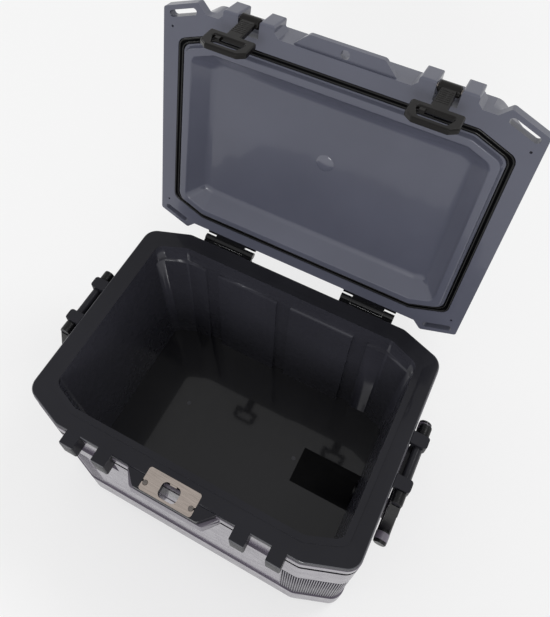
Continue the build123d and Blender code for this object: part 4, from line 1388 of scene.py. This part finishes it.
@dataclass
class LidSeal(Assembly):
    """The rubber gasket of the lid: a flat base and the two glossy lips that stand on it."""

    inset: float = 4.65 * MM
    width: float = 7.7 * MM
    depth: float = 4.6 * MM
    lift: float = 0.4 * MM
    lip_radius: float = 1.35 * MM
    lip_spread: float = 2.35 * MM
    lip_proud: float = 0.6 * MM

    def strand(self, name: str, section: Section, sizes: dict[str, float], grow: float, level: float,
               finish: Material) -> Mesh:
        """Sweep one section around the mouth's outline.

        Args:
            name: The name of the strand.
            section: The kind of section.
            sizes: Its sizes, named as that section's inputs are.
            grow: How far outside the mouth's outline the strand runs.
            level: The height of its middle over the lid's parting face.
            finish: Its material.

        Returns:
            The strand on the open lid.
        """
        recipe = Recipe(name, sizes, finish)
        given = {label: recipe.size(label) for label in sizes}
        recipe.close(recipe.sweep(recipe.upright_route(), section, given))
        mesh = recipe.run(name, path_mesh(name + "_path", MOUTH.path(grow)))
        mesh.transform(OPEN @ Matrix.Translation((0.0, 0.0, LID_Z + level)))
        merge(mesh)
        smooth(mesh, sharp=40.0)
        return mesh

    def build(self) -> None:
        """Make the base and the two lips."""
        seal, glossy = self.finishes.seal, self.finishes.seal_lip
        base = self.strand("seal_base", Section.BOX, {"Width": self.width, "Height": self.depth},
                           self.inset, self.lift + self.depth / 2, seal)
        piece = make_piece("lid_seal_base", base, seal)
        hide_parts("lid_gasket")
        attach(piece, "lid")
        for sign, name in ((1, "outer"), (-1, "inner")):
            lip = self.strand("seal_lip_" + name, Section.ROUND, {"Radius": self.lip_radius},
                              self.inset + sign * self.lip_spread, self.lip_radius - self.lip_proud, glossy)
            piece = make_piece("lid_seal_lip_" + name, lip, glossy)
            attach(piece, "lid")


@dataclass
class HingeWebs(Assembly):
    """The narrow webs of the body leaves that close the view below the middle knuckles."""

    start: float = 85.0 * MM
    end: float = 134.4 * MM
    back: float = 166.2 * MM
    level: float = 277.2 * MM
    thickness: float = 2.6 * MM
    height: float = 6.0 * MM

    def build(self) -> None:
        """Make one web for each hinge."""
        for side in Side:
            name = "hinge_web_" + side.word
            middle = (side.value * (self.start + self.end) / 2, self.back, self.level)
            mesh = box_mesh(name, middle, (self.end - self.start, self.thickness, self.height))
            piece = make_piece(name, mesh, self.finishes.hardware)
            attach(piece, "tub")


@dataclass
class LatchTrim(Assembly):
    """The cross ridges on each latch's stem and the nub in its opening."""

    centre: float = 118.7 * MM
    pivot_y: float = -172.5 * MM
    pivot_z: float = 292.5 * MM
    lean: float = 6.4
    count: int = 7
    first: float = 11.0 * MM
    pitch: float = 3.6 * MM
    ridge_width: float = 14.5 * MM
    ridge_proud: float = 0.9 * MM
    ridge_height: float = 1.5 * MM
    ridge_sides: int = 12
    half_thickness: float = 3.8 * MM
    nub_middle: Point = (-14.0 * MM, 0.0, -51.2 * MM)
    nub_size: Point = (6.0 * MM, 5.0 * MM, 5.2 * MM)

    def ridge_recipe(self) -> Recipe:
        """Build the tree that lays a cross ridge on every point.

        Returns:
            The tree.
        """
        recipe = Recipe("stem_ridges", {"Width": self.ridge_width, "Proud": self.ridge_proud,
                                        "Ridge": self.ridge_height}, self.finishes.latch)
        bar = recipe.transform(recipe.unit_rod(self.ridge_sides),
                               Rotation=recipe.vector(0.0, math.pi / 2, 0.0))
        size = recipe.vector(recipe.size("Width"), recipe.size("Proud"), recipe.size("Ridge"))
        recipe.close_on_points(recipe.transform(bar, Scale=size))
        return recipe

    def build(self) -> None:
        """Make the ridges and the nub of both latches."""
        latch = self.finishes.latch
        recipe = self.ridge_recipe()
        spots = [(0.0, -self.half_thickness, -self.first - self.pitch * step) for step in range(self.count)]
        for side in Side:
            body = "latch_" + side.word
            place = (OPEN @ Matrix.Translation((side.value * self.centre, self.pivot_y, self.pivot_z))
                     @ Matrix.Rotation(math.radians(self.lean), 4, "X"))
            ridges = recipe.run("stem_ridges_" + side.word, mesh_of("ridge_spots_" + side.word, spots))
            ridges.transform(place)
            ridges.shade_smooth()
            piece = make_piece("latch_ridges_" + side.word, ridges, latch)
            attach(piece, body)
            nub = box_mesh("latch_nub_" + side.word, self.nub_middle, self.nub_size)
            nub.transform(place)
            piece = make_piece("latch_nub_" + side.word, nub, latch)
            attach(piece, body)


@dataclass
class FloorDots(Assembly):
    """The two small mould dots on the liner's floor."""

    spots: tuple[Point, ...] = ((-102.7 * MM, 5.8 * MM, 44.4 * MM), (88.8 * MM, 4.7 * MM, 44.4 * MM))
    radius: float = 3.2 * MM
    height: float = 0.5 * MM
    sides: int = 28

    def build(self) -> None:
        """Make the dots as low discs."""
        recipe = Recipe("mould_dots", {"Radius": self.radius, "Height": self.height}, self.finishes.liner)
        recipe.close_on_points(recipe.rod(self.sides, recipe.size("Radius"), recipe.size("Height")))
        mesh = recipe.run("mould_dots", mesh_of("dot_spots", self.spots))
        piece = make_piece("liner_mould_dots", mesh, self.finishes.liner)
        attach(piece, "tub")


@dataclass(frozen=True)
class Lamp:
    """A soft square lamp."""

    name: str
    place: Point
    size: float
    power: float

    def hang(self, aim: Point) -> None:
        """Hang the lamp.

        Args:
            aim: The point that it looks at.
        """
        data = bpy.data.lights.new(self.name, "AREA")
        data.size = self.size
        data.energy = self.power
        lamp = bpy.data.objects.new(self.name, data)
        lamp.location = self.place
        lamp.rotation_euler = (Vector(aim) - Vector(self.place)).to_track_quat("-Z", "Y").to_euler()
        bpy.context.scene.collection.objects.link(lamp)


@dataclass
class Studio(Assembly):
    """Floor, lamps, sky and camera."""

    camera_place: Point = (0.1872, -0.2924, 1.0964)
    azimuth: float = 26.95
    elevation: float = 55.07
    roll: float = 0.70
    lens: float = 38.74
    sensor: float = 36.0
    shift: tuple[float, float] = (0.0143, -0.1186)
    floor_half: float = 6.0
    sky: float = 0.62
    plain: float = 0.91
    aim: Point = (0.0, 0.05, 0.3)
    lamps: tuple[Lamp, ...] = (
        Lamp("lamp_key", (1.8, 2.4, 4.6), size=1.3, power=42.0),
        Lamp("lamp_front", (1.0, -4.6, 2.8), size=1.6, power=70.0),
        Lamp("lamp_left", (-3.8, 0.2, 2.4), size=0.8, power=14.0),
    )

    def build(self) -> None:
        """Set the stage around the cooler."""
        self.make_floor()
        self.make_sky()
        for lamp in self.lamps:
            lamp.hang(self.aim)
        self.make_camera()

    def make_floor(self) -> None:
        """Lay the pale floor."""
        half = self.floor_half
        corners = [(-half, -half, 0.0), (half, -half, 0.0), (half, half, 0.0), (-half, half, 0.0)]
        floor = link_object("floor", mesh_of("floor", corners, faces=[(0, 1, 2, 3)]), self.finishes.stage)

    def make_sky(self) -> None:
        """Light the scene evenly, and show plain white to the camera and in gloss."""
        world = bpy.data.worlds.new("studio_sky")
        world.use_nodes = True
        bpy.context.scene.world = world
        sky = Tree(world.node_tree)
        light = sky.feed(sky.tree.nodes["Background"], {"Color": (1.0, 1.0, 1.0, 1.0), "Strength": self.sky})
        white = sky.add("ShaderNodeBackground", {"Color": (self.plain, self.plain, self.plain, 1.0)})
        sky.blend_surface("World Output", sky.seen_plainly(), light, white)

    def make_camera(self) -> None:
        """Place the camera where the photograph was taken from."""
        data = bpy.data.cameras.new("camera")
        data.lens = self.lens
        data.sensor_width = self.sensor
        data.shift_x, data.shift_y = self.shift
        turn, rise, lean = (math.radians(angle) for angle in (self.azimuth, self.elevation, self.roll))
        back = Vector((math.sin(turn) * math.cos(rise), -math.cos(turn) * math.cos(rise), math.sin(rise)))
        level = Vector((math.cos(turn), math.sin(turn), 0.0))
        right = level * math.cos(lean) + back.cross(level) * math.sin(lean)
        basis = Matrix((right, back.cross(right), back)).transposed().to_4x4()
        camera = bpy.data.objects.new("camera", data)
        camera.matrix_world = Matrix.Translation(self.camera_place) @ basis
        bpy.context.scene.collection.objects.link(camera)
        bpy.context.scene.camera = camera


def main() -> None:
    """Dress the cooler and set the stage."""
    logging.basicConfig(level=logging.INFO, format="%(message)s")
    bpy.context.scene.view_settings.view_transform = "Standard"
    finishes = Finishes()
    for assembly in (Tub(finishes), RibPanels(finishes), Lid(finishes), LidSeal(finishes), Screws(finishes),
                     HingeWebs(finishes), Latches(finishes), LatchTrim(finishes), FloorDots(finishes),
                     Handles(finishes), Studio(finishes)):
        assembly.build()
        LOG.info("built %s", type(assembly).__name__)


if __name__ == "__main__":
    main()
